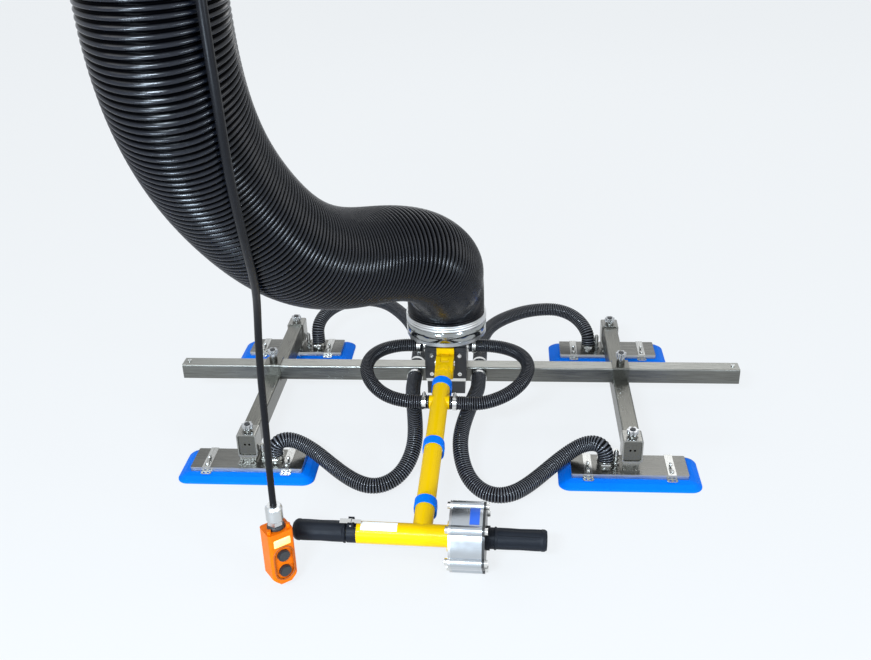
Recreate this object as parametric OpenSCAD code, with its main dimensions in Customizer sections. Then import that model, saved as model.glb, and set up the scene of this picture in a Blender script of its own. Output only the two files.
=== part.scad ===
// Panel suction lifter: a beam gripper with four suction pads under a vacuum lift tube.
// Millimetres, Z up. The origin lies on the floor under the middle of the lifter's outline.

/* [Main beam] */
// Width and height of the square main beam
beam_w = 40; // [34:1:46]
// Wall of the main beam
beam_wall = 2.5; // [2:0.5:4]
// Length of the main beam left of the lift axis
beam_left = 669; // [650:1:760]
// Length of the main beam right of the lift axis
beam_right = 711; // [650:1:760]
// Outside radius of the corners of the square tubes
tube_corner = 4; // [3:0.5:5]
// Length of a plug in a beam end
plug_len = 24; // [20:1:40]
// Distance of a hose stub on the beam from the lift axis
stub_x = 79; // [74:1:84]

/* [Cross-arms] */
// Width of a cross-arm
arm_w = 38; // [32:1:40]
// Height of a cross-arm
arm_h = 50; // [44:1:54]
// Wall of a cross-arm
arm_wall = 2.5; // [2:0.5:4]
// Distance of the left cross-arm from the lift axis
left_arm_x = 440; // [420:1:470]
// Distance of the right cross-arm from the lift axis
right_arm_x = 427; // [400:1:460]
// Reach of a cross-arm from the middle of the beam
arm_reach = 304; // [298:1:330]
// How far the middle of a cross-arm lies below the middle of the beam
arm_drop = 32; // [28:1:36]
// Length of a slider sleeve along the main beam
slider_len = 40; // [38:1:80]
// Wall of the slider sleeves and of the pad holders' sleeves
sleeve_wall = 3; // [2:0.5:5]
// Gap all round between a sleeve and the tube that it slides on
slide_gap = 0.5; // [0.3:0.05:0.8]
// Height of the threaded boss on a slider sleeve
slider_boss_h = 12; // [4:1:16]
// Height of the threaded boss on a pad holder
holder_boss_h = 3; // [2:1:10]

/* [Suction pads] */
// Distance of the pads' middle from the middle of the beam
pad_y = 285; // [280:1:290]
// How far a pad's middle lies to the left of its cross-arm's
pad_shift = 4; // [0:1:8]
// Length of a rubber lip
lip_len = 316; // [300:1:330]
// Width of a rubber lip
lip_w = 136; // [130:1:144]
// Height of a rubber lip
lip_h = 15; // [13:1:20]
// Corner radius of a rubber lip
lip_corner = 26; // [22:1:30]
// Width of the flat sealing rim under a lip
rim_w = 9; // [6:1:14]
// Depth of the suction chamber under a pad
chamber_h = 8; // [6:1:10]
// Length of a stainless cover
cover_len = 258; // [240:1:264]
// Width of a stainless cover
cover_w = 79; // [72:1:84]
// Height of a stainless cover
cover_h = 11; // [8:1:14]
// Thickness of a cover's sheet
sheet_t = 2; // [1.5:0.5:3]
// Distance of a latch strap from the middle of a pad
latch_x = 92; // [88:1:100]
// Width of a latch strap
latch_w = 18; // [14:1:22]
// Distance of the hose spigot from the middle of a left pad
left_spigot_x = 62; // [58:1:66]
// Distance of the hose spigot from the middle of a right pad
right_spigot_x = 52; // [50:1:60]
// Distance of the vent valve from the middle of a pad
vent_x = 29; // [28:1:30]
// Height of a pad holder's foot above the cover
foot_h = 20.5; // [16:0.5:30]
// Length of a pad holder's sleeve along the arm
holder_len = 44; // [36:1:56]

/* [Star knobs] */
// Outside radius of a star knob
knob_r = 13; // [12.5:0.5:18]
// Height of a star knob's grip
knob_h = 11; // [9:1:18]
// Number of lobes of a star knob
knob_lobes = 6; // [5:1:8]
// Radius of a knob's stud
stud_r = 4; // [3:0.5:5]
// Radial clearance of a turning fit
run_fit = 0.05; // [0.03:0.01:0.08]

/* [Head] */
// Width of the black head block
block_w = 100; // [92:1:110]
// Depth of the head block from front to back
block_d = 104; // [96:1:120]
// Height of the head block
block_h = 86; // [82:1:100]
// How far the head block reaches down over the beam
block_grip = 9; // [6:1:12]
// Thickness of the head's front cover
cover_t = 8; // [6:1:10]
// Height of the clamp body round the beam below the head
clamp_h = 36; // [34:1:42]
// Thickness of the steel plates between the head block and the clamp
plate_t = 8; // [6:1:10]
// Height of the hub between the head block and the collar
hub_h = 18; // [14:1:24]
// Radius of the vacuum passage through the hub
passage_r = 38; // [30:1:40]
// Height of a loop hose's stub above the foot of the head block
loop_stub_z = 70; // [66:1:72]
// Height of the handle's pivot above the foot of the head block
pivot_up = 57; // [52:1:62]
// Distance of the handle's pivot in front of the pivot bracket's plate
pivot_out = 16; // [16:1:22]
// Radius of the handle's pivot pin
pin_r = 6; // [5:0.5:8]

/* [Lift tube] */
// Outside radius of the lift tube over its ribs
tube_r = 93; // [88:0.5:94]
// Height of a rib of the lift tube
tube_rib = 3.5; // [2.5:0.5:6]
// Wall of the lift tube under its ribs
tube_wall = 4; // [3:0.5:5]
// Number of ribs of the lift tube
tube_ribs = 52; // [40:1:80]
// Height of a collar on the lift tube
collar_h = 53; // [48:1:60]
// How far a collar's spigot reaches into the lift tube
spigot_up = 14; // [10:1:16]
// Wall of a collar's clamp band outside the tube
band_wall = 3; // [2:0.5:4]
// Height of the lift tube's upper end above the floor
tube_top = 1250; // [1200:1:1400]

/* [Top swivel] */
// Radius of the swivel housing
swivel_r = 58; // [50:1:70]
// Height of the swivel housing
swivel_h = 76; // [70:1:90]
// Outside radius of the vacuum port
port_r = 30; // [24:1:32]
// Length of the vacuum port outside the swivel housing
port_len = 60; // [40:1:90]
// Radius of the hole in the hanging eye
eye_r = 14; // [10:1:18]
// Thickness of the hanging eye
eye_t = 18; // [12:1:24]

/* [Handle] */
// Distance from the handle's pivot to the middle of the cross tube
handle_reach = 536; // [500:1:560]
// Sideways lean of the handle from square, in degrees
handle_slew = 1.8; // [0:0.1:2.5]
// Radius of the handle's long arm
handle_r = 20; // [19:0.5:21]
// Radius of the handle's cross tube
cross_r = 22; // [21.5:0.5:24]
// Wall of the handle's tubes
handle_wall = 2.5; // [2:0.5:4]
// Length of the cross tube left of the handle's arm
cross_left = 128; // [118:1:140]
// Length of the cross tube right of the handle's arm
cross_right = 57; // [50:1:66]
// Length of a hand grip
grip_len = 108; // [96:1:116]
// Radius of a hand grip
grip_r = 20; // [19:0.5:22]
// Distance of the loop hoses' stubs from the handle's pivot
side_stub_s = 145; // [143:1:147]
// Radius of the valve housing
valve_r = 64; // [60:1:66]
// Length of the valve housing with its end plates
valve_len = 70; // [60:1:80]
// Thickness of a valve end plate
end_plate_t = 5; // [4:1:8]
// Radius of the circle of the tie bolts
bolt_ring_r = 63; // [60:0.5:65]
// Radius of a tie bolt's boss
boss_r = 10; // [8:0.5:11]
// Radius of a tie bolt
tie_r = 4; // [3:0.5:5]
// Radius of the line that is strapped under the handle's arm
line_r = 6.5; // [5:0.5:7.5]

/* [Pendant] */
// Width of the pendant
pendant_w = 52; // [48:1:56]
// Depth of the pendant
pendant_d = 44; // [42:1:50]
// Height of the pendant's body
pendant_h = 118; // [110:1:128]
// Radius of a push button
button_r = 12; // [10:0.5:13]
// Travel of a push button
button_travel = 3.5; // [2:0.5:4]
// Radius of the pendant's cable
cable_r = 6.5; // [5:0.5:7]
// Length of the pendant's cable gland
gland_h = 52; // [46:1:56]
// Distance of the pendant in front of the middle of the cross tube
pendant_ahead = 69.6; // [66:0.1:80]

/* [Hoses] */
// Outside radius of a pad hose over its ribs
hose_r = 18; // [16.5:0.5:18.5]
// Bore radius of a pad hose
hose_bore = 13; // [11:0.5:13.5]
// Outside radius of a loop hose over its ribs
loop_r = 16; // [14.5:0.5:16.5]
// Bore radius of a loop hose
loop_bore = 11.5; // [10:0.5:12]
// Number of ribs of a pad hose
hose_ribs = 18; // [14:1:20]
// Number of ribs of a loop hose
loop_ribs = 12; // [10:1:16]
// Height of a rib of a hose
hose_rib = 2; // [1:0.5:2.5]
// Length of a stub inside a hose
stub_len = 28; // [24:1:32]
// Length of a spigot on a suction pad
spigot_len = 17; // [14:1:18]

/* [Hidden] */
$fn = 48;
soft_sides = 8;
tube_sides = 14;
tube_bore_rows = 26;
cable_rows = 28;
fine = 8;
seat_gap = 0.3;
stud_back = 1.2;
spigot_foot = 4.7;
loop_foot = 4.7;

// Heights, from the floor up
cover_z = lip_h;
foot_z = lip_h + cover_h;
arm_z = foot_z + foot_h + sleeve_wall + slide_gap + arm_h / 2;
holder_top = arm_z + arm_h / 2 + slide_gap + sleeve_wall;
beam_z = arm_z + arm_drop;
beam_top = beam_z + beam_w / 2;
slider_top = beam_top + slide_gap + sleeve_wall;
block_z = beam_top - block_grip;
block_top = block_z + block_h;
collar_z = block_top + hub_h;
seat_up = 40;
seat_z = collar_z + seat_up;
top_collar_z = tube_top + seat_up;
swivel_z = top_collar_z + hub_h;
eye_z = swivel_z + swivel_h + 44;

// Places seen from above, from the lift axis
head_x = (beam_left - beam_right) / 2;
head_y = 315.44;
crane_x = -280;
crane_y = -945;
clip_x = 80;
clip_y = -65;
clip_hole = 22;
head_front = -block_d / 2 - cover_t;
bracket_t = 6;
pivot_y = head_front - bracket_t - pivot_out;
pivot_z = block_z + pivot_up;

// The handle comes to rest on the lowest boss of its valve housing
handle_sweep = handle_reach * cos(handle_slew) + (cross_right + valve_len) * sin(handle_slew);
function rest_tilt(t, n) = n == 0
    ? t
    : rest_tilt(asin((pivot_z - bolt_ring_r * cos(30 - t) - boss_r) / handle_sweep), n - 1);
handle_tilt = rest_tilt(11, 8);

// Collars
spigot_wall = 3;
flange_r = tube_r + band_wall;
bore_r = tube_r - tube_rib - tube_wall;
neck_r = passage_r + 12;

// Handle
valve_x = cross_right;
stub_foot = 23;
grip_gap = 10;
core_r = grip_r - 5;
fork_slot = 20.6;
fork_w = 42;
fork_r = 15;
journal_r = 12;
ear_w = 4;

// Pendant, beside the lift tube
pendant_x = -286;
pendant_y = pivot_y - handle_reach * cos(handle_slew) * cos(handle_tilt) - pendant_ahead;
pendant_z = 18;
pendant_turn = 38;
button_up_z = 65;
button_down_z = 29;
field_r = 19.5;
pendant_round = 7;
gland_bore = 12;

// Straight ends of the hoses, where they sit on their stubs
function beam_end(x, side) =
    [for (y = [0, 34, 70]) [x, side * (beam_w / 2 + seat_gap + y), beam_z]];
function pad_end(x, y) = [for (z = [23, 12, 0]) [x, y, foot_z + spigot_foot + seat_gap + z]];
function block_end(side) =
    [for (x = [0, 27, 53])
        [side * (block_w / 2 + loop_foot + seat_gap + x), -20, block_z + loop_stub_z]];
function side_place(x) =
    let (back = side_stub_s * cos(handle_slew) + x * sin(handle_slew))
    [x * cos(handle_slew) - side_stub_s * sin(handle_slew),
        pivot_y - back * cos(handle_tilt),
        pivot_z - back * sin(handle_tilt)];

// Routes: each hose follows a smooth curve that these points pull along, from the lift axis
tube_route = [[0, 0, seat_z + seat_gap], [0, 0, 282], [0, 0, 304], [0, -20, 355],
    [0, -90, 400], [5, -185, 450],
    [5, -285, 510], [-25, -360, 565], [-80, -415, 590], [-130, -480, 605], [-175, -570, 640],
    [-215, -665, 700], [-250, -750, 785], [-275, -840, 890], [crane_x, -915, 1000],
    [crane_x, crane_y, 1100], [crane_x, crane_y, 1180],
    [crane_x, crane_y, tube_top - seat_gap]];
front_left_route = concat(beam_end(-stub_x, -1), [[-76, -122, 105], [-68, -180, 100],
    [-60, -240, 90], [-58, -290, 66], [-78, -338, 34], [-114, -368, 19], [-155, -378, 18],
    [-200, -352, 20], [-248, -308, 26], [-290, -274, 40], [-325, -264, 58], [-352, -270, 72],
    [-374, -282, 72]], pad_end(-left_arm_x - pad_shift + left_spigot_x, -pad_y));
front_right_route = concat(beam_end(stub_x, -1), [[72, -122, 106], [60, -175, 100],
    [48, -235, 92], [42, -290, 76], [55, -345, 40], [88, -384, 19], [130, -405, 18],
    [175, -388, 18], [225, -328, 22], [272, -280, 38], [312, -262, 60], [342, -268, 74],
    [363, -282, 74]], pad_end(right_arm_x - pad_shift - right_spigot_x, -pad_y));
rear_left_route = concat(beam_end(-stub_x, 1), [[-83, 135, 108], [-94, 190, 111],
    [-113, 250, 114], [-140, 300, 117], [-172, 347, 119], [-208, 383, 120], [-258, 398, 120],
    [-315, 385, 119], [-358, 345, 112], [-380, 306, 95], [-383, 287, 74]],
    pad_end(-left_arm_x - pad_shift + left_spigot_x, pad_y));
rear_right_route = concat(beam_end(stub_x, 1), [[79, 135, 107], [84, 188, 108],
    [98, 240, 109], [128, 284, 111], [170, 322, 111], [206, 348, 110], [262, 366, 108],
    [300, 364, 104], [333, 345, 97], [356, 315, 86], [369, 291, 70]],
    pad_end(right_arm_x - pad_shift - right_spigot_x, pad_y));
left_loop_route = concat(block_end(-1), [[-146, -34, 188], [-176, -68, 187],
    [-188, -116, 181], [-174, -168, 169], [-134, -208, 153]],
    [side_place(-82), side_place(-52), side_place(-stub_foot - seat_gap)]);
right_loop_route = concat(block_end(1), [[146, -31, 188], [184, -60, 187],
    [203, -108, 181], [190, -163, 169], [148, -206, 154]],
    [side_place(100), side_place(72), side_place(48), side_place(stub_foot + seat_gap)]);
cable_route = [[crane_x + clip_x, crane_y + clip_y, top_collar_z - clip_hole - seat_gap],
    [crane_x + clip_x, crane_y + clip_y, 1170], [-200, -1005, 1100],
    [-202, -990, 1030], [-206, -970, 965], [-212, -942.5, 900], [-218, -902.5, 830],
    [-226, -852.5, 755], [-236, -797.5, 690], [-252, -745, 630], [-265, -716, 560],
    [-273, -702, 480], [-278, -690, 400], [-282, -681, 320], [pendant_x, pendant_y, 250],
    [pendant_x, pendant_y, pendant_z + pendant_h + gland_h - gland_bore + seat_gap]];

// Puts what is drawn round the lift axis in its place over the floor
module at_head() {
    translate([head_x, head_y, 0]) children();
}

// Puts what is drawn round the handle's pivot, with its arm along -Y, in its rest place
module at_handle() {
    at_head()
        translate([0, pivot_y, pivot_z])
            rotate([handle_tilt, 0, 0])
                rotate([0, 0, -handle_slew])
                    children();
}

// The same, but round the middle of the cross tube
module at_cross() {
    at_handle() translate([0, -handle_reach, 0]) children();
}

// A cylinder along X from x0 to x1
module bar_x(x0, x1, r) {
    translate([x0, 0, 0]) rotate([0, 90, 0]) cylinder(h = x1 - x0, r = r);
}

// A cylinder along Y from y0 to y1
module bar_y(y0, y1, r) {
    translate([0, y1, 0]) rotate([90, 0, 0]) cylinder(h = y1 - y0, r = r);
}

// A flat rectangle with round corners
module rounded(w, h, r) {
    square([w - 2 * r, h], center = true);
    square([w, h - 2 * r], center = true);
    for (x = [-1, 1])
        for (y = [-1, 1])
            translate([x * (w / 2 - r), y * (h / 2 - r)]) circle(r = r);
}

// A square tube's section, or its outside alone when the wall is 0
module tube_section(w, wall) {
    difference() {
        rounded(w, w, tube_corner);
        if (wall > 0)
            rounded(w - 2 * wall, w - 2 * wall, max(0.5, tube_corner - wall));
    }
}

// Lays a flat section across X and draws it out along X from x0 to x1
module along_x(x0, x1) {
    translate([x0, 0, 0]) rotate([90, 0, 90]) linear_extrude(x1 - x0) children();
}

// Lays a flat section across Y and draws it out along Y from y0 to y1
module along_y(y0, y1) {
    translate([0, y1, 0]) rotate([90, 0, 0]) linear_extrude(y1 - y0) children();
}

// Smooth curve that a route's points pull along, starting and ending on its end points
function unit(v) = v / norm(v);
function led(p) = concat([2 * p[0] - p[1]], p, [2 * p[len(p) - 1] - p[len(p) - 2]]);
function pulled(q, i, t) =
    (pow(1 - t, 3) * q[i]
    + (3 * pow(t, 3) - 6 * t * t + 4) * q[i + 1]
    + (-3 * pow(t, 3) + 3 * t * t + 3 * t + 1) * q[i + 2]
    + pow(t, 3) * q[i + 3]) / 6;
function curve(p) =
    let (q = led(p), legs = len(p) - 1)
    concat([for (i = [0 : legs - 1]) for (j = [0 : fine - 1]) pulled(q, i, j / fine)], [p[legs]]);
function running(c) =
    [for (i = 0, s = 0; i < len(c); s = s + norm(c[min(i + 1, len(c) - 1)] - c[i]), i = i + 1) s];
function tables(c, run) =
    [for (k = [0 : 2]) [for (i = [0 : len(c) - 1]) [run[i], c[i][k]]]];
function spot(t, s) = [for (k = [0 : 2]) lookup(s, t[k])];
function heading(t, s, whole) =
    unit(spot(t, min(whole, s + 1)) - spot(t, max(0, s - 1)));

// Places along the curve, crowded towards its far end where the bend is tight
function places(whole, rows, crowd) =
    [for (i = [0 : rows]) let (u = i / rows) whole * (u + crowd * u * (1 - u))];

// The same for the bore, straight over the stubs that reach near and far into its ends
function bore_places(whole, rows, crowd, near, far) =
    concat([0], [for (s = places(whole - near - far, rows - 2, crowd)) near + s], [whole]);

// Side directions carried along the curve without a twist
function side_from(d) = unit(cross(d, abs(d.x) > 0.9 ? [0, 1, 0] : [1, 0, 0]));
function carried(n, d) = unit(n - (n * d) * d);
function side_dirs(dirs) =
    [for (i = 0, n = side_from(dirs[0]);
          i < len(dirs);
          i = i + 1, n = i < len(dirs) ? carried(n, dirs[i]) : n) n];
function ring(c, n, d, r, sides) =
    [for (k = [0 : sides - 1])
        let (a = 360 * (k + 0.5) / sides) c + r * (cos(a) * n + sin(a) * cross(d, n))];

// Faces between rings of points: rows of them, a cap, or an annulus between two rings
function wall_faces(first, rows, sides, turned) =
    [for (i = [0 : rows - 1]) for (k = [0 : sides - 1]) for (half = [0, 1])
        let (a = first + i * sides + k,
             b = first + i * sides + (k + 1) % sides,
             f = half == 0 ? [a, b, a + sides] : [b, b + sides, a + sides])
        turned ? [f[0], f[2], f[1]] : f];
function cap_faces(first, sides, turned) =
    [for (k = [1 : sides - 2])
        turned ? [first, first + k, first + k + 1] : [first, first + k + 1, first + k]];
function end_faces(outer, inner, sides, turned) =
    [for (k = [0 : sides - 1]) for (half = [0, 1])
        let (m = (k + 1) % sides,
             f = half == 0
                ? [outer + k, inner + k, outer + m]
                : [inner + k, inner + m, outer + m])
        turned ? [f[0], f[2], f[1]] : f];

// Least gap of a tube to itself, between places more than a few diameters apart
function least_gap(spots, run, r) =
    min([for (i = [0 : len(spots) - 2]) for (j = [i + 1 : len(spots) - 1])
        if (run[j] - run[i] > 6 * r) norm(spots[j] - spots[i]) - 2 * r]);

// One unbroken tube along a route: ribbed with a bore, or smooth and solid when bore is 0
module swept(name, route, rows, sides, crest, root, crowd, bore = 0, bore_rows = 0, near = 0, far = 0) {
    c = curve(route);
    run = running(c);
    whole = run[len(run) - 1];
    t = tables(c, run);
    s = places(whole, rows, crowd);
    spots = [for (x = s) spot(t, x)];
    dirs = [for (x = s) heading(t, x, whole)];
    ns = side_dirs(dirs);
    skin = [for (i = [0 : rows])
        each ring(spots[i], ns[i], dirs[i], i % 2 == 1 ? crest : root, sides)];
    inner = bore_places(whole, bore_rows, crowd, near, far);
    inner_dirs = [for (x = inner) heading(t, x, whole)];
    inner_ns = side_dirs(inner_dirs);
    hollow = [for (i = [0 : bore_rows])
        each ring(spot(t, inner[i]), inner_ns[i], inner_dirs[i], bore, sides)];
    echo(name, length = whole, least_gap = least_gap(spots, s, crest));
    if (bore > 0)
        polyhedron(
            points = concat(skin, hollow),
            faces = concat(
                wall_faces(0, rows, sides, true),
                wall_faces(len(skin), bore_rows, sides, false),
                end_faces(0, len(skin), sides, true),
                end_faces(rows * sides, len(skin) + bore_rows * sides, sides, false)));
    else
        polyhedron(
            points = skin,
            faces = concat(
                wall_faces(0, rows, sides, true),
                cap_faces(0, sides, true),
                cap_faces(rows * sides, sides, false)));
}

module pad_hose(name, route) {
    color([0.08, 0.08, 0.09])
        at_head()
            swept(name, route, 2 * hose_ribs, soft_sides, hose_r, hose_r - hose_rib, 0.35,
                hose_bore, hose_ribs, stub_len + 1, spigot_len - spigot_foot + 1);
}

module loop_hose(name, route) {
    color([0.08, 0.08, 0.09])
        at_head()
            swept(name, route, 2 * loop_ribs, soft_sides, loop_r, loop_r - hose_rib, 0,
                loop_bore, loop_ribs, stub_len - loop_foot + 1, stub_len + 1);
}

// Largest round stub that goes into a hose's bore
function stub_of(bore) = bore * cos(180 / soft_sides) - seat_gap;

module hose_front_left() pad_hose("hose_front_left", front_left_route);
module hose_front_right() pad_hose("hose_front_right", front_right_route);
module hose_rear_left() pad_hose("hose_rear_left", rear_left_route);
module hose_rear_right() pad_hose("hose_rear_right", rear_right_route);
module loop_hose_left() loop_hose("loop_hose_left", left_loop_route);
module loop_hose_right() loop_hose("loop_hose_right", right_loop_route);

// A worm-drive hose clamp round Z, with its screw housing at the side that turn gives
module hose_clamp(r, turn) {
    band = 9;
    band_t = 1.2;
    difference() {
        union() {
            cylinder(h = band, r = r + seat_gap + band_t, center = true);
            rotate([0, 0, turn])
                translate([r + seat_gap, 0, 0])
                    cube([2 * (band_t + 4), 15, band - 1], center = true);
            rotate([0, 0, turn])
                translate([r + seat_gap + 3, 0, 0])
                    bar_y(-11, 9, 3);
        }
        cylinder(h = band + 2, r = r + seat_gap, center = true);
    }
}

// A star knob round Z, over a boss whose top is at z = 0: lobes, hub and a stud that reaches
// down through the boss and the sleeve's wall, as far as the tube inside
module star_knob(hub_up, boss_h) {
    lobe_r = knob_r * 0.32;
    stud_depth = boss_h + sleeve_wall + slide_gap - stud_back;
    difference() {
        union() {
            translate([0, 0, seat_gap]) cylinder(h = hub_up, r = 8);
            translate([0, 0, hub_up + seat_gap]) {
                cylinder(h = knob_h, r = knob_r - lobe_r);
                for (i = [0 : knob_lobes - 1])
                    rotate([0, 0, 360 * i / knob_lobes])
                        translate([knob_r - lobe_r, 0, 0])
                            cylinder(h = knob_h, r = lobe_r);
            }
            translate([0, 0, -stud_depth]) cylinder(h = stud_depth + 1, r = stud_r);
        }
        translate([0, 0, hub_up + seat_gap + knob_h - 3]) cylinder(h = 4, r = 5);
        for (i = [0 : knob_lobes - 1])
            rotate([0, 0, 360 * (i + 0.5) / knob_lobes])
                translate([knob_r + 1, 0, hub_up + seat_gap - 1])
                    cylinder(h = knob_h + 2, r = lobe_r * 0.8);
    }
}

// Main beam
module main_beam() {
    color([0.72, 0.72, 0.70])
        at_head()
            difference() {
                translate([0, 0, beam_z])
                    along_x(-beam_left, beam_right) tube_section(beam_w, beam_wall);
                for (x = [-stub_x, stub_x])
                    translate([x, 0, beam_z]) bar_y(-beam_w, beam_w, stub_of(hose_bore));
                for (x = [-beam_left + plug_len / 2, beam_right - plug_len / 2])
                    translate([x, 0, beam_z]) cylinder(h = beam_w, r = screw_r);
            }
}
screw_r = 2.5;
end_plate = 2.5;

// Plugs in both ends of the main beam, each with its own face plate
module beam_end_plugs() {
    plug_w = beam_w - 2 * beam_wall - seat_gap;
    color([0.66, 0.66, 0.65])
        at_head()
            translate([0, 0, beam_z])
                for (side = [-1, 1]) {
                    x_end = side < 0 ? -beam_left : beam_right;
                    difference() {
                        union() {
                            along_x(min(x_end, x_end + side * end_plate),
                                max(x_end, x_end + side * end_plate))
                                rounded(beam_w, beam_w, tube_corner);
                            along_x(min(x_end, x_end - side * plug_len),
                                max(x_end, x_end - side * plug_len))
                                rounded(plug_w, plug_w, 1.5);
                        }
                        translate([x_end - side * plug_len / 2, 0, 0])
                            cylinder(h = beam_w, r = screw_r);
                    }
                }
}

// Clamp body under the head, a channel that takes the beam
module beam_clamp() {
    w = block_w - 8;
    d = block_d + cover_t;
    top = block_z - plate_t;
    color([0.12, 0.12, 0.13])
        at_head()
            difference() {
                translate([-w / 2, -d / 2, top - clamp_h]) cube([w, d, clamp_h]);
                translate([-w, -beam_w / 2, beam_z - beam_w / 2]) cube([2 * w, beam_w, clamp_h]);
                for (x = [-w / 2 + 12, w / 2 - 12])
                    for (y = [-d / 2 + 14, d / 2 - 14])
                        translate([x, y, top - clamp_h - 1]) cylinder(h = 9, r = 6);
            }
}

// Steel plates in front of and behind the beam, between the clamp and the head block
module clamp_plates() {
    w = block_w - 4;
    d = block_d / 2 + cover_t;
    color([0.70, 0.70, 0.68])
        at_head()
            for (side = [-1, 1])
                translate([-w / 2, side > 0 ? beam_w / 2 : -d, block_z - plate_t])
                    cube([w, d - beam_w / 2, plate_t]);
}

// Black head block, with the vacuum chamber and the stub holes of the loop hoses
module head_block() {
    color([0.09, 0.09, 0.10])
        at_head()
            difference() {
                translate([0, 0, block_z])
                    linear_extrude(block_h) rounded(block_w, block_d, 5);
                translate([-block_w, -beam_w / 2, block_z - 1])
                    cube([2 * block_w, beam_w, block_grip + 1]);
                translate([0, 0, block_z + block_grip + 12])
                    cylinder(h = block_h, r = passage_r);
                translate([0, -20, block_z + loop_stub_z])
                    bar_x(-block_w, block_w, stub_of(loop_bore) + run_fit);
                for (x = [-screw_x, screw_x])
                    for (z = [screw_low, screw_high])
                        translate([x, 0, block_z + z])
                            bar_y(-block_d / 2 - 1, -block_d / 2 + 12, screw_r);
            }
}
screw_x = 34;
screw_low = 13;
screw_high = 63;

// Front cover of the head, with a step along its upper edge
module head_cover() {
    step = 5;
    color([0.10, 0.10, 0.11])
        at_head()
            difference() {
                translate([-block_w / 2, head_front, block_z])
                    cube([block_w, cover_t, block_h - 4]);
                translate([-block_w, head_front - step, block_z + block_h - 14])
                    cube([2 * block_w, step + 3, step * 4]);
                for (x = [-screw_x, screw_x])
                    for (z = [screw_low, screw_high])
                        translate([x, 0, block_z + z])
                            bar_y(head_front - 1, -block_d / 2 + 1, screw_r);
            }
}

// Screws of the head cover and of the beam's end plugs
module head_screws() {
    head_r = 5;
    head_t = 3;
    color([0.80, 0.80, 0.78])
        at_head() {
            for (x = [-screw_x, screw_x])
                for (z = [screw_low, screw_high])
                    translate([x, 0, block_z + z])
                        difference() {
                            union() {
                                bar_y(head_front - head_t, head_front, head_r);
                                bar_y(head_front - 1, -block_d / 2 + 11, screw_r - run_fit);
                            }
                            bar_y(head_front - head_t - 1, head_front - 1, 2.4);
                        }
            for (x = [-beam_left + plug_len / 2, beam_right - plug_len / 2])
                translate([x, 0, beam_top])
                    difference() {
                        union() {
                            cylinder(h = head_t, r = head_r);
                            translate([0, 0, -beam_w / 2])
                                cylinder(h = beam_w / 2 + 1, r = screw_r - run_fit);
                        }
                        translate([0, 0, 1]) cylinder(h = head_t, r = 2.4);
                    }
        }
}

// Pivot bracket on the head cover: a plate and the tongue that takes the handle's pin
module pivot_bracket() {
    tongue_w = 20;
    tongue_r = 14;
    plate_h = 56;
    color([0.95, 0.74, 0.05])
        at_head()
            difference() {
                union() {
                    translate([-fork_w / 2, head_front - bracket_t, pivot_z - plate_h / 2])
                        cube([fork_w, bracket_t, plate_h]);
                    translate([-tongue_w / 2, pivot_y, pivot_z - tongue_r])
                        cube([tongue_w, -pivot_y + head_front - 1, 2 * tongue_r]);
                    translate([0, pivot_y, pivot_z]) bar_x(-tongue_w / 2, tongue_w / 2, tongue_r);
                }
                translate([0, pivot_y, pivot_z]) bar_x(-fork_w, fork_w, pin_r + run_fit);
            }
}

// Pin of the handle's pivot, with a head at one end and a retaining ring at the other
module pivot_pin() {
    color([0.75, 0.75, 0.74])
        at_head()
            translate([0, pivot_y, pivot_z]) {
                bar_x(-fork_w / 2 - 2, fork_w / 2 + 2, pin_r);
                bar_x(fork_w / 2 + seat_gap, fork_w / 2 + 3, pin_r + 3);
                bar_x(-fork_w / 2 - 3, -fork_w / 2 - seat_gap, pin_r + 3);
            }
}

// A pipe stub for a hose: its foot at z = 0, its tip inside the hose
module stub(bore, back) {
    r = stub_of(bore);
    difference() {
        translate([0, 0, -back]) cylinder(h = back + stub_len, r = r);
        translate([0, 0, -back - 1]) cylinder(h = back + stub_len + 2, r = r - 2);
    }
}

// Stubs and hose clamps on the beam and on the head block
module hose_fittings() {
    color([0.78, 0.78, 0.76])
        at_head() {
            for (x = [-stub_x, stub_x])
                for (side = [-1, 1])
                    translate([x, side * beam_w / 2, beam_z])
                        rotate([side > 0 ? -90 : 90, 0, 0]) {
                            stub(hose_bore, beam_wall + 4);
                            translate([0, 0, 14]) hose_clamp(hose_r, side > 0 ? 90 : -90);
                        }
            for (side = [-1, 1])
                translate([side * block_w / 2, -20, block_z + loop_stub_z])
                    rotate([0, side * 90, 0]) {
                        difference() {
                            cylinder(h = loop_foot, r = loop_r);
                            translate([0, 0, -1]) cylinder(h = loop_foot + 2, r = stub_of(loop_bore));
                        }
                        stub(loop_bore, 8);
                        translate([0, 0, 18]) hose_clamp(loop_r, 135 - side * 45);
                    }
        }
}

// Hub between the head block and the lift tube's collar, with the journal that carries it
module head_hub() {
    color([0.16, 0.16, 0.17])
        at_head()
            translate([0, 0, block_top])
                rotate_extrude()
                    polygon([[passage_r, 0], [neck_r + 6, 0], [neck_r + 6, 6], [neck_r, 8],
                        [neck_r, hub_h], [journal_out, hub_h], [journal_out, hub_h + 9],
                        [passage_r, hub_h + 9]]);
}
journal_out = passage_r + 6;

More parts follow.
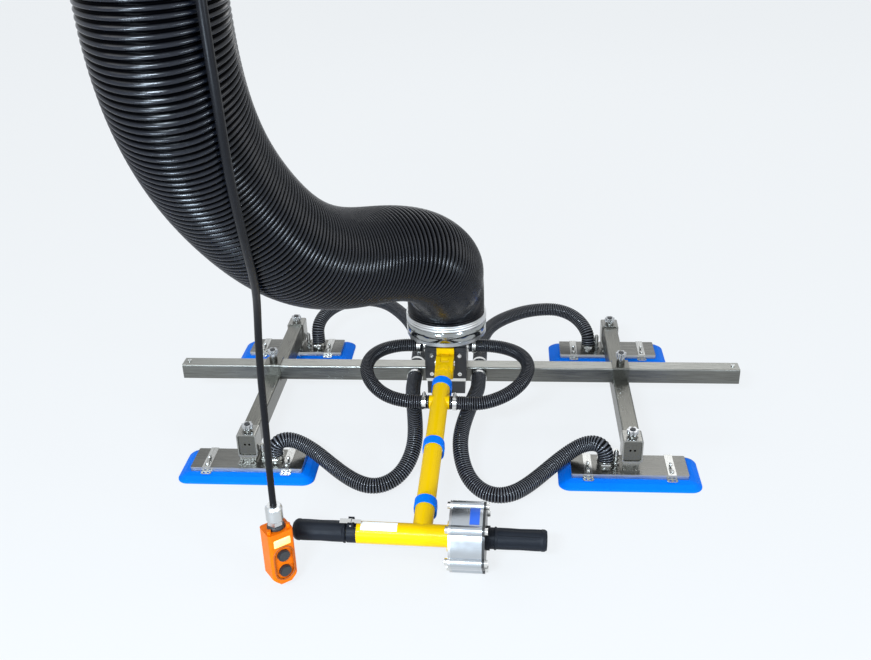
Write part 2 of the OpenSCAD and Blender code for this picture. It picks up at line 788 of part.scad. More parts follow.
// A cross-arm welded to the slider sleeve that carries it on the beam
module cross_arm(x) {
    sleeve = beam_w + 2 * (slide_gap + sleeve_wall);
    passage = beam_w + 2 * slide_gap;
    color([0.74, 0.74, 0.71])
        at_head()
            translate([x, 0, 0]) {
                difference() {
                    union() {
                        translate([0, 0, beam_z])
                            along_x(-slider_len / 2, slider_len / 2) rounded(sleeve, sleeve, tube_corner);
                        translate([0, 0, arm_z])
                            along_y(-arm_reach, arm_reach) rounded(arm_w, arm_h, tube_corner);
                        translate([0, 0, slider_top - 1])
                            cylinder(h = slider_boss_h + 1, r = boss_out);
                    }
                    translate([0, 0, arm_z])
                        for (side = [-1, 1])
                            along_y(side > 0 ? sleeve / 2 : -arm_reach + sleeve_wall,
                                side > 0 ? arm_reach - sleeve_wall : -sleeve / 2)
                                rounded(arm_w - 2 * arm_wall, arm_h - 2 * arm_wall,
                                    max(0.5, tube_corner - arm_wall));
                    translate([0, 0, beam_z])
                        along_x(-slider_len, slider_len) rounded(passage, passage, tube_corner);
                    translate([0, 0, beam_top])
                        cylinder(h = slider_boss_h + 10, r = stud_r + run_fit);
                    for (side = [-1, 1])
                        for (hole = [-1, 1])
                            translate([hole * end_hole_x, side * arm_reach, arm_z + 1])
                                bar_y(-4, 4, 2.6);
                }
            }
}
boss_out = 10;
end_hole_x = 5;

module left_arm() cross_arm(-left_arm_x);
module right_arm() cross_arm(right_arm_x);

module arm_knob(x) {
    color([0.30, 0.31, 0.32])
        at_head()
            translate([x, 0, slider_top + slider_boss_h]) star_knob(8, slider_boss_h);
}
module left_arm_knob() arm_knob(-left_arm_x);
module right_arm_knob() arm_knob(right_arm_x);

// Puts what is drawn round a pad's middle in place; the hose spigot lies towards the head
module at_pad(side, end) {
    at_head()
        translate([(side < 0 ? -left_arm_x : right_arm_x) - pad_shift, end * pad_y, 0])
            children();
}

// Holder: a sleeve on the cross-arm, its tapered foot and the foot's flange
module pad_holder(side, end) {
    wrap = 2 * (slide_gap + sleeve_wall);
    flange_t = 4;
    flange_w = 42;
    post_top = arm_w + 2;
    post_foot = arm_w - 4;
    color([0.72, 0.72, 0.69])
        at_pad(side, end)
            difference() {
                union() {
                    translate([pad_shift, 0, arm_z])
                        along_y(-holder_len / 2, holder_len / 2)
                            rounded(arm_w + wrap, arm_h + wrap, tube_corner);
                    along_y(-holder_len / 2 + 2, holder_len / 2 - 2)
                        polygon([[-post_foot / 2, foot_z + 1], [post_foot / 2, foot_z + 1],
                            [post_top / 2 + pad_shift, foot_z + foot_h + 1],
                            [-post_top / 2 + pad_shift, foot_z + foot_h + 1]]);
                    translate([-flange_w / 2, -holder_len / 2 - 7, foot_z])
                        cube([flange_w, holder_len + 14, flange_t]);
                    for (x = [-1, 1])
                        for (y = [-1, 1])
                            translate([x * (flange_w / 2 - 8), y * (holder_len / 2 + 2.4), foot_z])
                                cylinder(h = flange_t + 4, r = 4);
                    translate([pad_shift, 0, holder_top - 1])
                        cylinder(h = holder_boss_h + 1, r = boss_out);
                }
                translate([pad_shift, 0, arm_z])
                    along_y(-holder_len, holder_len)
                        rounded(arm_w + 2 * slide_gap, arm_h + 2 * slide_gap, tube_corner);
                translate([pad_shift, 0, arm_z]) cylinder(h = arm_h, r = stud_r + run_fit);
            }
}

// Stainless cover, a folded pan over the rubber lip
module pad_cover(side, end) {
    spigot = side < 0 ? left_spigot_x : -right_spigot_x;
    color([0.76, 0.76, 0.72])
        at_pad(side, end)
            difference() {
                translate([0, 0, cover_z])
                    linear_extrude(cover_h) rounded(cover_len, cover_w, 3);
                translate([0, 0, cover_z - 1])
                    linear_extrude(cover_h - sheet_t + 1)
                        rounded(cover_len - 2 * sheet_t, cover_w - 2 * sheet_t, 1);
                translate([spigot, 0, cover_z]) cylinder(h = cover_h + 1, r = spigot_bore);
                translate([vent_at(side), 0, cover_z]) cylinder(h = cover_h + 1, r = 2.5);
            }
}
spigot_bore = 8;

// Where a pad's vent valve stands, clear of the holder's sleeve
function vent_at(side) = side < 0 ? vent_x + pad_shift : -vent_x;

// Section of the lip's skirt, from its outer edge inwards
module skirt_section() {
    polygon([[0, 0], [0, 2.5], [2, 4.5], [lip_corner * 0.55, lip_h - 3], [lip_corner - 3, lip_h - 0.6],
        [lip_corner, lip_h], [lip_corner, chamber_h], [rim_w + 5, chamber_h], [rim_w, 0]]);
}

// Blue rubber lip: a skirt swept round the pad, closed above the suction chamber
module pad_lip(side, end) {
    spigot = side < 0 ? left_spigot_x : -right_spigot_x;
    straight_x = lip_len - 2 * lip_corner;
    straight_y = lip_w - 2 * lip_corner;
    color([0.02, 0.38, 0.92])
        at_pad(side, end)
            difference() {
                union() {
                    for (turn = [0 : 3])
                        rotate([0, 0, 90 * turn])
                            translate([(turn % 2 == 0 ? straight_x : straight_y) / 2,
                                (turn % 2 == 0 ? straight_y : straight_x) / 2, 0])
                                rotate_extrude(angle = 90)
                                    translate([lip_corner, 0]) mirror([1, 0]) skirt_section();
                    for (turn = [0 : 3])
                        rotate([0, 0, 90 * turn])
                            translate([0, (turn % 2 == 0 ? lip_w : lip_len) / 2, 0])
                                along_x(-(turn % 2 == 0 ? straight_x : straight_y) / 2,
                                    (turn % 2 == 0 ? straight_x : straight_y) / 2)
                                    mirror([1, 0]) skirt_section();
                    translate([-straight_x / 2, -straight_y / 2, chamber_h])
                        cube([straight_x, straight_y, lip_h - chamber_h]);
                }
                translate([spigot, 0, 0]) cylinder(h = lip_h + 1, r = spigot_bore);
            }
}

// Hose spigot and its clamp, vent valve and latch straps of a pad
module pad_fittings(side, end) {
    spigot = side < 0 ? left_spigot_x : -right_spigot_x;
    vent = vent_at(side);
    strap_t = 1.5;
    tab_w = 24;
    tab_l = 11;
    color([0.80, 0.80, 0.78])
        at_pad(side, end) {
            translate([spigot, 0, foot_z])
                difference() {
                    union() {
                        cylinder(h = spigot_foot, r = hose_r);
                        cylinder(h = spigot_len, r = stub_of(hose_bore));
                    }
                    translate([0, 0, -1]) cylinder(h = spigot_len + 2, r = spigot_bore);
                }
            translate([spigot, 0, foot_z + 11]) hose_clamp(hose_r, -90);
            translate([vent, 0, foot_z]) {
                cylinder(h = 5, r = 7, $fn = 6);
                translate([0, 0, 5]) cylinder(h = 17, r = 4.5);
                translate([0, 0, 14]) cylinder(h = 4, r = 6);
                translate([0, 0, 22]) cylinder(h = 16, r = 5.5);
                translate([0, 0, 38]) cylinder(h = 3, r = 3.5);
            }
            for (x = [-latch_x, latch_x])
                translate([x, 0, 0])
                    difference() {
                        union() {
                            translate([-latch_w / 2, -cover_w / 2 - strap_t, foot_z])
                                cube([latch_w, cover_w + 2 * strap_t, strap_t]);
                            for (y = [-cover_w / 2 - strap_t, cover_w / 2])
                                translate([-latch_w / 2, y, lip_h])
                                    cube([latch_w, strap_t, cover_h + 1]);
                            translate([0, -cover_w / 2 - tab_l / 2, lip_h])
                                linear_extrude(strap_t) rounded(tab_w, tab_l, tab_l * 0.4);
                            translate([0, 0, foot_z]) cylinder(h = strap_t + 5, r = 2);
                        }
                        for (hole = [-1, 1])
                            translate([hole * tab_w / 5, -cover_w / 2 - tab_l / 2 - 1, 0])
                                cylinder(h = cover_h * 4, r = 2.6);
                    }
        }
}

module pad_knob(side, end) {
    color([0.30, 0.31, 0.32])
        at_pad(side, end)
            translate([pad_shift, 0, holder_top + holder_boss_h]) star_knob(1.5, holder_boss_h);
}

module front_left_holder() pad_holder(-1, -1);
module front_left_cover() pad_cover(-1, -1);
module front_left_lip() pad_lip(-1, -1);
module front_left_fittings() pad_fittings(-1, -1);
module front_left_knob() pad_knob(-1, -1);
module front_right_holder() pad_holder(1, -1);
module front_right_cover() pad_cover(1, -1);
module front_right_lip() pad_lip(1, -1);
module front_right_fittings() pad_fittings(1, -1);
module front_right_knob() pad_knob(1, -1);
module rear_left_holder() pad_holder(-1, 1);
module rear_left_cover() pad_cover(-1, 1);
module rear_left_lip() pad_lip(-1, 1);
module rear_left_fittings() pad_fittings(-1, 1);
module rear_left_knob() pad_knob(-1, 1);
module rear_right_holder() pad_holder(1, 1);
module rear_right_cover() pad_cover(1, 1);
module rear_right_lip() pad_lip(1, 1);
module rear_right_fittings() pad_fittings(1, 1);
module rear_right_knob() pad_knob(1, 1);

// Half section of a collar from its flange up: flange, bright band, rings, clamp band, spigot
module collar_section() {
    band_r = tube_r - 1;
    inner_r = tube_r + seat_gap;
    spigot_r = bore_r * cos(180 / tube_sides) - seat_gap;
    polygon([[journal_out + run_fit, 0], [flange_r, 0], [flange_r, 8], [band_r, 8],
        [band_r, 28], [flange_r, 28], [flange_r, 33], [flange_r - 2, 34],
        [flange_r - 2, 36], [flange_r, 37], [flange_r, collar_h],
        [inner_r, collar_h], [inner_r, seat_up], [spigot_r, seat_up],
        [spigot_r, seat_up + spigot_up], [spigot_r - spigot_wall, seat_up + spigot_up],
        [spigot_r - spigot_wall, 12], [journal_out + run_fit, 12]]);
}

module tube_collar() {
    color([0.82, 0.82, 0.80])
        at_head()
            translate([0, 0, collar_z])
                rotate_extrude($fn = 96) collar_section();
}

module top_collar() {
    color([0.82, 0.82, 0.80])
        at_head()
            translate([crane_x, crane_y, top_collar_z])
                mirror([0, 0, 1]) {
                    rotate_extrude($fn = 96) collar_section();
                    translate([clip_x, clip_y, 0])
                        difference() {
                            union() {
                                translate([-10, -14, 0]) cube([20, 22, 14]);
                                cylinder(h = clip_hole + 6, r = 10);
                            }
                            translate([0, 0, clip_hole]) cylinder(h = 10, r = cable_r + run_fit);
                        }
                }
}

module lift_tube() {
    color([0.07, 0.07, 0.08])
        at_head()
            swept("lift_tube", tube_route, 2 * tube_ribs, tube_sides, tube_r, tube_r - tube_rib, 0,
                bore_r, tube_bore_rows, spigot_up + 1, spigot_up + 1);
}

// Rotary housing over the lift tube, with the vacuum port
module top_swivel() {
    color([0.62, 0.64, 0.66])
        at_head()
            translate([crane_x, crane_y, swivel_z])
                difference() {
                    union() {
                        rotate_extrude()
                            polygon([[0, 0], [swivel_r, 0], [swivel_r, swivel_h - 6],
                                [swivel_r - 6, swivel_h], [0, swivel_h]]);
                        translate([0, 0, -hub_h]) cylinder(h = hub_h + 1, r = neck_r);
                        translate([0, 0, -hub_h - 9]) cylinder(h = 10, r = journal_out);
                        translate([0, 0, swivel_h / 2]) {
                            bar_x(0, swivel_r + port_len, port_r);
                            bar_x(0, swivel_r + port_foot, port_r + 5);
                        }
                    }
                    translate([0, 0, -hub_h - 10]) cylinder(h = hub_h + swivel_h - 2, r = passage_r);
                    translate([0, 0, swivel_h / 2]) bar_x(0, swivel_r + port_len + 1, port_r - 4);
                    translate([0, 0, swivel_h - 10]) cylinder(h = 12, r = eye_stem_r);
                }
}
eye_stem_r = 10;
port_foot = 6;

// Eye that hangs in the crane's hook, with its stem in the swivel housing
module hanging_eye() {
    ring_r = eye_r + 12;
    color([0.50, 0.51, 0.52])
        at_head()
            translate([crane_x, crane_y, 0])
                difference() {
                    union() {
                        translate([0, 0, swivel_z + swivel_h - 10])
                            cylinder(h = 30, r = eye_stem_r);
                        translate([0, 0, swivel_z + swivel_h]) cylinder(h = 8, r = 18);
                        translate([0, 0, eye_z]) bar_x(-eye_t / 2, eye_t / 2, ring_r);
                        translate([-eye_t / 2, -ring_r * 0.7, swivel_z + swivel_h + 6])
                            cube([eye_t, ring_r * 1.4, eye_z - swivel_z - swivel_h - 6]);
                    }
                    translate([0, 0, eye_z]) bar_x(-eye_t, eye_t, eye_r);
                }
}

module pendant_cable() {
    color([0.06, 0.06, 0.06])
        at_head()
            swept("pendant_cable", cable_route, cable_rows, soft_sides, cable_r, cable_r, 0);
}

// Puts what is drawn round the pendant's middle, its face towards -Y, in place
module at_pendant() {
    at_head()
        translate([pendant_x, pendant_y, pendant_z])
            rotate([0, 0, pendant_turn])
                children();
}

// Metal gland on top of the pendant, with a tie round its foot
module pendant_gland() {
    color([0.78, 0.79, 0.78])
        at_pendant()
            translate([0, 0, pendant_h])
                difference() {
                    union() {
                        cylinder(h = 10, r = 13);
                        translate([0, 0, 10]) cylinder(h = 8, r = 15.5, $fn = 6);
                        translate([0, 0, 18]) cylinder(h = 3, r = 12.5);
                        translate([0, 0, 21]) cylinder(h = gland_h - 27, r = 16.5);
                        translate([0, 0, gland_h - 6]) cylinder(h = 6, r1 = 16.5, r2 = 13);
                    }
                    translate([0, 0, gland_h - gland_bore]) cylinder(h = 20, r = cable_r + seat_gap);
                }
}

// Outline of the pendant from above, less a margin all round
module pendant_outline(less) {
    rounded(pendant_w - 2 * less, pendant_d - 2 * less, pendant_round - less);
}

// Solid body of the pendant, with its lower corners cut off
module pendant_body() {
    cut = 15;
    difference() {
        linear_extrude(pendant_h) pendant_outline(0);
        for (side = [-1, 1])
            translate([side * pendant_w / 2, 0, 0])
                rotate([0, 45, 0]) cube([cut * 1.41, pendant_d * 2, cut * 1.41], center = true);
    }
}

// Oval recess round the two buttons
module button_field(r, depth) {
    y = -pendant_d / 2;
    for (z = [button_down_z, button_up_z]) translate([0, y, z]) bar_y(-1, depth, r);
    translate([-r, y - 1, button_down_z]) cube([2 * r, depth + 1, button_up_z - button_down_z]);
}

module pendant_front() {
    color([0.95, 0.45, 0.03])
        at_pendant() {
            difference() {
                intersection() {
                    pendant_body();
                    translate([-pendant_w, -pendant_d, -1])
                        cube([2 * pendant_w, pendant_d, pendant_h + 2]);
                }
                button_field(field_r, 3);
                for (z = [button_down_z, button_up_z])
                    translate([0, 0, z]) bar_y(-pendant_d, -pendant_d / 2 + 14, button_r + run_fit + 0.2);
            }
            for (side = [-1, 1])
                translate([side * (pendant_w / 2 - 6), -12, pendant_h - 1])
                    cylinder(h = 9, r = 4);
        }
}

module pendant_back() {
    color([0.93, 0.43, 0.03])
        at_pendant()
            intersection() {
                pendant_body();
                translate([-pendant_w, 0, -1]) cube([2 * pendant_w, pendant_d, pendant_h + 2]);
            }
}

// A push button, proud of the recess by more than its travel
module push_button(z) {
    color([0.05, 0.05, 0.05])
        at_pendant()
            translate([0, 0, z]) {
                bar_y(-pendant_d / 2 - button_travel + 0.5, -pendant_d / 2 + 14 - button_travel - seat_gap,
                    button_r);
                bar_y(-pendant_d / 2 - button_travel - 1, -pendant_d / 2 - button_travel + 0.6,
                    button_r - 1.5);
            }
}
module button_up() push_button(button_up_z);
module button_down() push_button(button_down_z);

// Handle frame: fork, arm, cross tube, grip core and the stubs of the loop hoses
module handle_frame() {
    fork_len = 46;
    boss_h = line_r * 2 + handle_r + 2;
    color([0.95, 0.74, 0.05])
        at_handle()
            difference() {
                union() {
                    rotate([0, 0, handle_slew]) {
                        bar_x(-fork_w / 2, fork_w / 2, fork_r);
                        translate([-fork_w / 2, -fork_len, -fork_r])
                            cube([fork_w, fork_len, 2 * fork_r]);
                    }
                    bar_y(-fork_len - 4, -fork_len + 12, handle_r + 1);
                    bar_y(-handle_reach, -fork_len + 2, handle_r);
                    translate([0, -handle_reach, 0]) {
                        bar_x(-cross_left, cross_right, cross_r);
                        bar_x(-cross_left - 2 * grip_gap - grip_len + 7, -cross_left + 1, core_r);
                        bar_x(cross_right - 5, cross_right, cross_r + 8);
                    }
                    translate([0, -side_stub_s, 0]) {
                        bar_x(-stub_foot, stub_foot, loop_r);
                        bar_x(-stub_foot - stub_len, stub_foot + stub_len, stub_of(loop_bore));
                    }
                    for (s = [line_start, handle_reach - line_end])
                        translate([0, -s, -boss_h]) cylinder(h = boss_h - handle_r / 2, r = 9);
                }
                rotate([0, 0, handle_slew]) {
                    translate([-fork_slot / 2, -fork_r - 2.5, -fork_r * 2])
                        cube([fork_slot, fork_r * 4, fork_r * 4]);
                    bar_x(-fork_w, fork_w, pin_r + run_fit);
                }
                bar_y(-handle_reach, -fork_len - 2, handle_r - handle_wall);
                translate([0, -handle_reach, 0])
                    bar_x(-cross_left + 4, cross_right + 1, cross_r - handle_wall);
                translate([0, -side_stub_s, 0])
                    bar_x(-block_w, block_w, stub_of(loop_bore) - 2);
            }
}
line_start = 56;
line_end = 34;

// Line under the handle's arm, and the three straps that hold it
module strapped_line() {
    strap_t = 3;
    strap_w = 20;
    drop = 2 * line_r + 1;
    color([0.03, 0.35, 0.80])
        at_handle() {
            for (s = [88, 287, 458])
                translate([0, -s, 0])
                    along_y(-strap_w / 2, strap_w / 2)
                        difference() {
                            strap_outline(handle_r + seat_gap + strap_t, drop);
                            strap_outline(handle_r + seat_gap, drop);
                        }
            translate([0, 0, -handle_r - line_r - 0.5])
                bar_y(-handle_reach + line_end + 9.2, -line_start - 9.2, line_r);
        }
}

module strap_outline(r, drop) {
    circle(r = r);
    translate([0, -drop]) circle(r = r);
    translate([-r, -drop]) square([2 * r, drop]);
}

// Rubber grip on the left end, with the clamp ring beside it
module left_grip() {
    x0 = -cross_left - 2 * grip_gap;
    color([0.11, 0.11, 0.12])
        at_cross() {
            translate([x0, 0, 0])
                rotate([0, -90, 0])
                    rotate_extrude()
                        polygon([[core_r + 0.1, 0], [grip_r - 2, 0], [grip_r, 3], [grip_r - 1.5, 30],
                            [grip_r, grip_len - 12], [grip_r - 1, grip_len - 5],
                            [grip_r - 5, grip_len], [0, grip_len], [0, grip_len - 7],
                            [core_r + 0.1, grip_len - 7]]);
            difference() {
                union() {
                    bar_x(x0 + 1, -cross_left - 0.2, cross_r - 0.5);
                    for (side = [-1, 1])
                        translate([x0 + 4, side * ear_y - ear_w / 2, 0])
                            cube([12, ear_w, ear_top]);
                }
                bar_x(x0 - 1, -cross_left + 1, core_r + 0.1);
                translate([x0 + 10, 0, lever_z]) bar_y(-ear_y * 2, ear_y * 2, 2);
            }
        }
}
ear_y = 8;
ear_top = 33;
lever_z = 29;

// Thumb lever that rocks on its pin between the ears of the clamp ring
module thumb_lever() {
    x0 = -cross_left - 2 * grip_gap + 10;
    color([0.80, 0.80, 0.79])
        at_cross()
            translate([x0, 0, lever_z]) {
                bar_y(-ear_y - 3, ear_y + 3, 2 - run_fit);
                bar_y(-5.4, 5.4, 4);
                translate([-22, -5, 1.2]) cube([24, 10, 2.4]);
                translate([0, -4, 1.2]) cube([20, 8, 2.4]);
            }
}

// Circles of the valve housing's bosses
module boss_circles(r) {
    for (i = [0 : 5])
        rotate([0, 0, 60 * i])
            translate([0, bolt_ring_r]) circle(r = r);
}

// Aluminium body of the control valve, an extrusion with six bosses
module valve_housing() {
    color([0.80, 0.81, 0.83])
        at_cross()
            along_x(valve_x + end_plate_t, valve_x + valve_len - end_plate_t)
                rotate(90)
                    difference() {
                        union() {
                            circle(r = valve_r);
                            boss_circles(boss_r);
                        }
                        circle(r = valve_r - 12);
                        boss_circles(tie_r + seat_gap);
                    }
}

// End plates of the valve, an aluminium one and a black one that carries the twist grip
module valve_plates() {
    color([0.30, 0.31, 0.33])
        at_cross() {
            along_x(valve_x, valve_x + end_plate_t)
                rotate(90)
                    difference() {
                        union() {
                            circle(r = valve_r - 1);
                            boss_circles(boss_r);
                        }
                        circle(r = cross_r - handle_wall);
                        boss_circles(tie_r + seat_gap);
                    }
            along_x(valve_x + valve_len - end_plate_t, valve_x + valve_len)
                rotate(90)
                    difference() {
                        union() {
                            circle(r = valve_r - 1);
                            boss_circles(boss_r);
                        }
                        circle(r = journal_r + run_fit);
                        boss_circles(tie_r + seat_gap);
                    }
        }
}

// Tie bolts of the valve and the loop hoses' clamps on the handle
module handle_fasteners() {
    head = 6;
    color([0.78, 0.78, 0.76]) {
        at_cross()
            for (i = [0 : 5])
                rotate([60 * i + 30, 0, 0])
                    translate([0, 0, bolt_ring_r]) {
                        bar_x(valve_x - head, valve_x + valve_len + head, tie_r);
                        bar_x(valve_x - head, valve_x, tie_r + 3);
                        bar_x(valve_x + valve_len, valve_x + valve_len + head, tie_r + 3);
                    }
        at_handle()
            for (side = [-1, 1])
                translate([side * (stub_foot + 12), -side_stub_s, 0])
                    rotate([0, 90, 0]) hose_clamp(loop_r, 180);
    }
}

// Twist grip with its flange and the journal that turns in the valve's end plate
module twist_grip() {
    x0 = valve_x + valve_len;
    color([0.11, 0.11, 0.12])
        at_cross() {
            bar_x(x0 - end_plate_t - 8, x0 + 6, journal_r);
            bar_x(x0 + seat_gap, x0 + 8, grip_r + 4);
            difference() {
                bar_x(x0 + 7, x0 + 8 + grip_len, grip_r + 1);
                for (i = [0 : 5])
                    rotate([60 * i, 0, 0])
                        translate([x0 + 22, -grip_r, grip_r - 1.4])
                            cube([grip_len, 2 * grip_r, 10]);
            }
        }
}

main_beam();
beam_end_plugs();
beam_clamp();
clamp_plates();
head_block();
head_cover();
head_screws();
pivot_bracket();
pivot_pin();
hose_fittings();
head_hub();
hose_front_left();
hose_front_right();
hose_rear_left();
hose_rear_right();
loop_hose_left();
loop_hose_right();
left_arm();
right_arm();
left_arm_knob();
right_arm_knob();
front_left_holder();
front_left_cover();
front_left_lip();
front_left_fittings();
front_left_knob();
front_right_holder();
front_right_cover();
front_right_lip();
front_right_fittings();
front_right_knob();
rear_left_holder();
rear_left_cover();
rear_left_lip();
rear_left_fittings();
rear_left_knob();
rear_right_holder();
rear_right_cover();
rear_right_lip();
rear_right_fittings();
rear_right_knob();
tube_collar();
lift_tube();
top_collar();
pendant_cable();
pendant_gland();
pendant_front();
pendant_back();
button_up();
button_down();
top_swivel();
hanging_eye();
handle_frame();
strapped_line();
left_grip();
thumb_lever();
valve_housing();
valve_plates();
handle_fasteners();
twist_grip();
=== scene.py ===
import math
import bpy
import numpy as np
from mathutils import Matrix, Vector


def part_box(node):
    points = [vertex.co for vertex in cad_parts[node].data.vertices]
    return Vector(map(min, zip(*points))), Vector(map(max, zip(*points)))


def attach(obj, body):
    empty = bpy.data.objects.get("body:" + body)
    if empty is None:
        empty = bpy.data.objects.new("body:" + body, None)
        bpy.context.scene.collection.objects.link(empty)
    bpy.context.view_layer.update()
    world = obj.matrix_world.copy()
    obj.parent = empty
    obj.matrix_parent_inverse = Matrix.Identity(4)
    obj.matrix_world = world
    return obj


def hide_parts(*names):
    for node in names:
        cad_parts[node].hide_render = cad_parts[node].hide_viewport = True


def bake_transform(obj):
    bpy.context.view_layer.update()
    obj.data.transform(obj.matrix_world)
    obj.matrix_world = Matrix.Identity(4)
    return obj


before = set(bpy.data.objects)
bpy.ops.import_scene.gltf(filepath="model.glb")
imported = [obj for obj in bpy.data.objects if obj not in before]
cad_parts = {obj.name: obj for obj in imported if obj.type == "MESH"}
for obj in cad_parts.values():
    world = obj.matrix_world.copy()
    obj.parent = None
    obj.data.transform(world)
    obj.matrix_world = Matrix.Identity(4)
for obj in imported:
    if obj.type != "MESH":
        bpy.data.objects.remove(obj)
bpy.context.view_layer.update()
print("frame loaded")

mm = 0.001
liftAxis = np.array([-21.0, 315.44, 0.0]) * mm   # where the lift axis meets the floor


# Camera: place (from the lift axis) and sensor in millimetres, turns in degrees, focal length and width
# of the photograph in pixels, and how far it sees in metres
camera = {"place": (150.3, -2147.5, 1284.4), "yaw": 4.73, "pitch": 26.29, "roll": 1.7,
          "focal": 978.06, "photoWidth": 871, "sensor": 36, "farthest": 60}


def makeCamera(c):
    yaw, pitch, roll = (math.radians(c[k]) for k in ("yaw", "pitch", "roll"))
    ahead = Vector((-math.sin(yaw) * math.cos(pitch), math.cos(yaw) * math.cos(pitch), -math.sin(pitch)))
    right = Vector((math.cos(yaw), math.sin(yaw), 0))
    down = ahead.cross(right)
    x = math.cos(roll) * right + math.sin(roll) * down
    y = -(-math.sin(roll) * right + math.cos(roll) * down)
    data = bpy.data.cameras.new("camera")
    data.sensor_width = c["sensor"]
    data.lens = c["focal"] * c["sensor"] / c["photoWidth"]
    data.clip_end = c["farthest"]
    cam = bpy.data.objects.new("camera", data)
    bpy.context.scene.collection.objects.link(cam)
    turned = Matrix((x, y, -ahead)).transposed().to_4x4()
    cam.matrix_world = Matrix.Translation(Vector(c["place"]) * mm + Vector(liftAxis)) @ turned
    bpy.context.scene.camera = cam


makeCamera(camera)


# Smooth route: a uniform cubic B-spline drawn towards a row of pulling points, its ends kept
def smoothRoute(points, steps=20):
    p = np.asarray(points, float) * mm + liftAxis
    q = np.vstack([2 * p[0] - p[1], p, 2 * p[-1] - p[-2]])
    t = np.linspace(0, 1, steps, endpoint=False)[:, None]
    w = np.hstack([(1 - t) ** 3, 3 * t ** 3 - 6 * t ** 2 + 4,
                   -3 * t ** 3 + 3 * t ** 2 + 3 * t + 1, t ** 3]) / 6
    legs = np.stack([q[i:i + 4] for i in range(len(p) - 1)])
    return np.vstack([np.einsum("sk,nkd->nsd", w, legs).reshape(-1, 3), p[-1:]])


def lengthAlong(line):
    return np.concatenate([[0], np.cumsum(np.linalg.norm(np.diff(line, axis=0), axis=1))])


def unitRows(v):
    return v / np.linalg.norm(v, axis=-1, keepdims=True)


# A frame carried along a line without twist: heading, side and lift at each length s
def carriedFrame(line, s):
    run = lengthAlong(line)
    heading = unitRows(np.gradient(line, run, axis=0))
    side = np.zeros_like(line)
    steep = abs(heading[0][2]) > 0.9   # a line that starts nearly upright takes its first side from X
    first = np.cross(heading[0], (1, 0, 0) if steep else (0, 0, 1))
    side[0] = first / np.linalg.norm(first)
    for i in range(1, len(line)):
        turned = side[i - 1] - side[i - 1].dot(heading[i]) * heading[i]
        side[i] = turned / np.linalg.norm(turned)

    def pick(a):
        return np.stack([np.interp(s, run, a[:, k]) for k in range(3)], axis=-1)

    h = unitRows(pick(heading))
    n = pick(side)
    n = unitRows(n - (n * h).sum(-1, keepdims=True) * h)
    return pick(line), h, n, np.cross(h, n)


# New object at the origin, its place in its mesh
def meshPiece(name, verts, faces):
    mesh = bpy.data.meshes.new(name)
    mesh.from_pydata(verts, [], faces)
    mesh.shade_smooth()
    piece = bpy.data.objects.new(name, mesh)
    bpy.context.scene.collection.objects.link(piece)
    return piece


# Grid of points (rows by sides) into a mesh; the sides close on themselves, closeRows joins the last row
# to the first, and the caps are fans
def gridMesh(name, grid, closeRows=False, caps=(False, False)):
    rows, sides = grid.shape[:2]
    i, k = np.meshgrid(np.arange(rows if closeRows else rows - 1), np.arange(sides), indexing="ij")
    j, m = (i + 1) % rows, (k + 1) % sides
    quads = np.stack([i * sides + k, i * sides + m, j * sides + m, j * sides + k], -1).reshape(-1, 4)
    verts = grid.reshape(-1, 3)
    faces = quads.tolist()
    for end, wanted in enumerate(caps):
        if wanted:
            row = 0 if end == 0 else rows - 1
            verts = np.vstack([verts, grid[row].mean(0)])
            centre = len(verts) - 1
            a = row * sides + np.arange(sides)
            b = row * sides + (np.arange(sides) + 1) % sides
            hub = np.full(sides, centre)
            faces += np.stack([b, a, hub] if end == 0 else [a, b, hub], -1).tolist()
    return meshPiece(name, verts.tolist(), faces)


# Tube round a line: circles of radius r(s) square to it, both ends turned in to the bore or, without
# one, closed
def tubeMesh(name, line, s, r, sides, bore=None):
    if bore is not None:
        s = np.concatenate([[s[0]], s, [s[-1]]])
        r = np.concatenate([[bore], r, [bore]])
    spot, h, n, b = carriedFrame(line, s)
    a = np.linspace(0, 2 * np.pi, sides, endpoint=False)
    ring = np.cos(a)[None, :, None] * n[:, None] + np.sin(a)[None, :, None] * b[:, None]
    return gridMesh(name, spot[:, None] + r[:, None, None] * ring, caps=(bore is None,) * 2)


# Keeps a per-point number on the mesh, for its material to read
def keepNumber(piece, label, values):
    layer = piece.data.attributes.new(label, "FLOAT", "POINT")
    layer.data.foreach_set("value", np.asarray(values, np.float32))


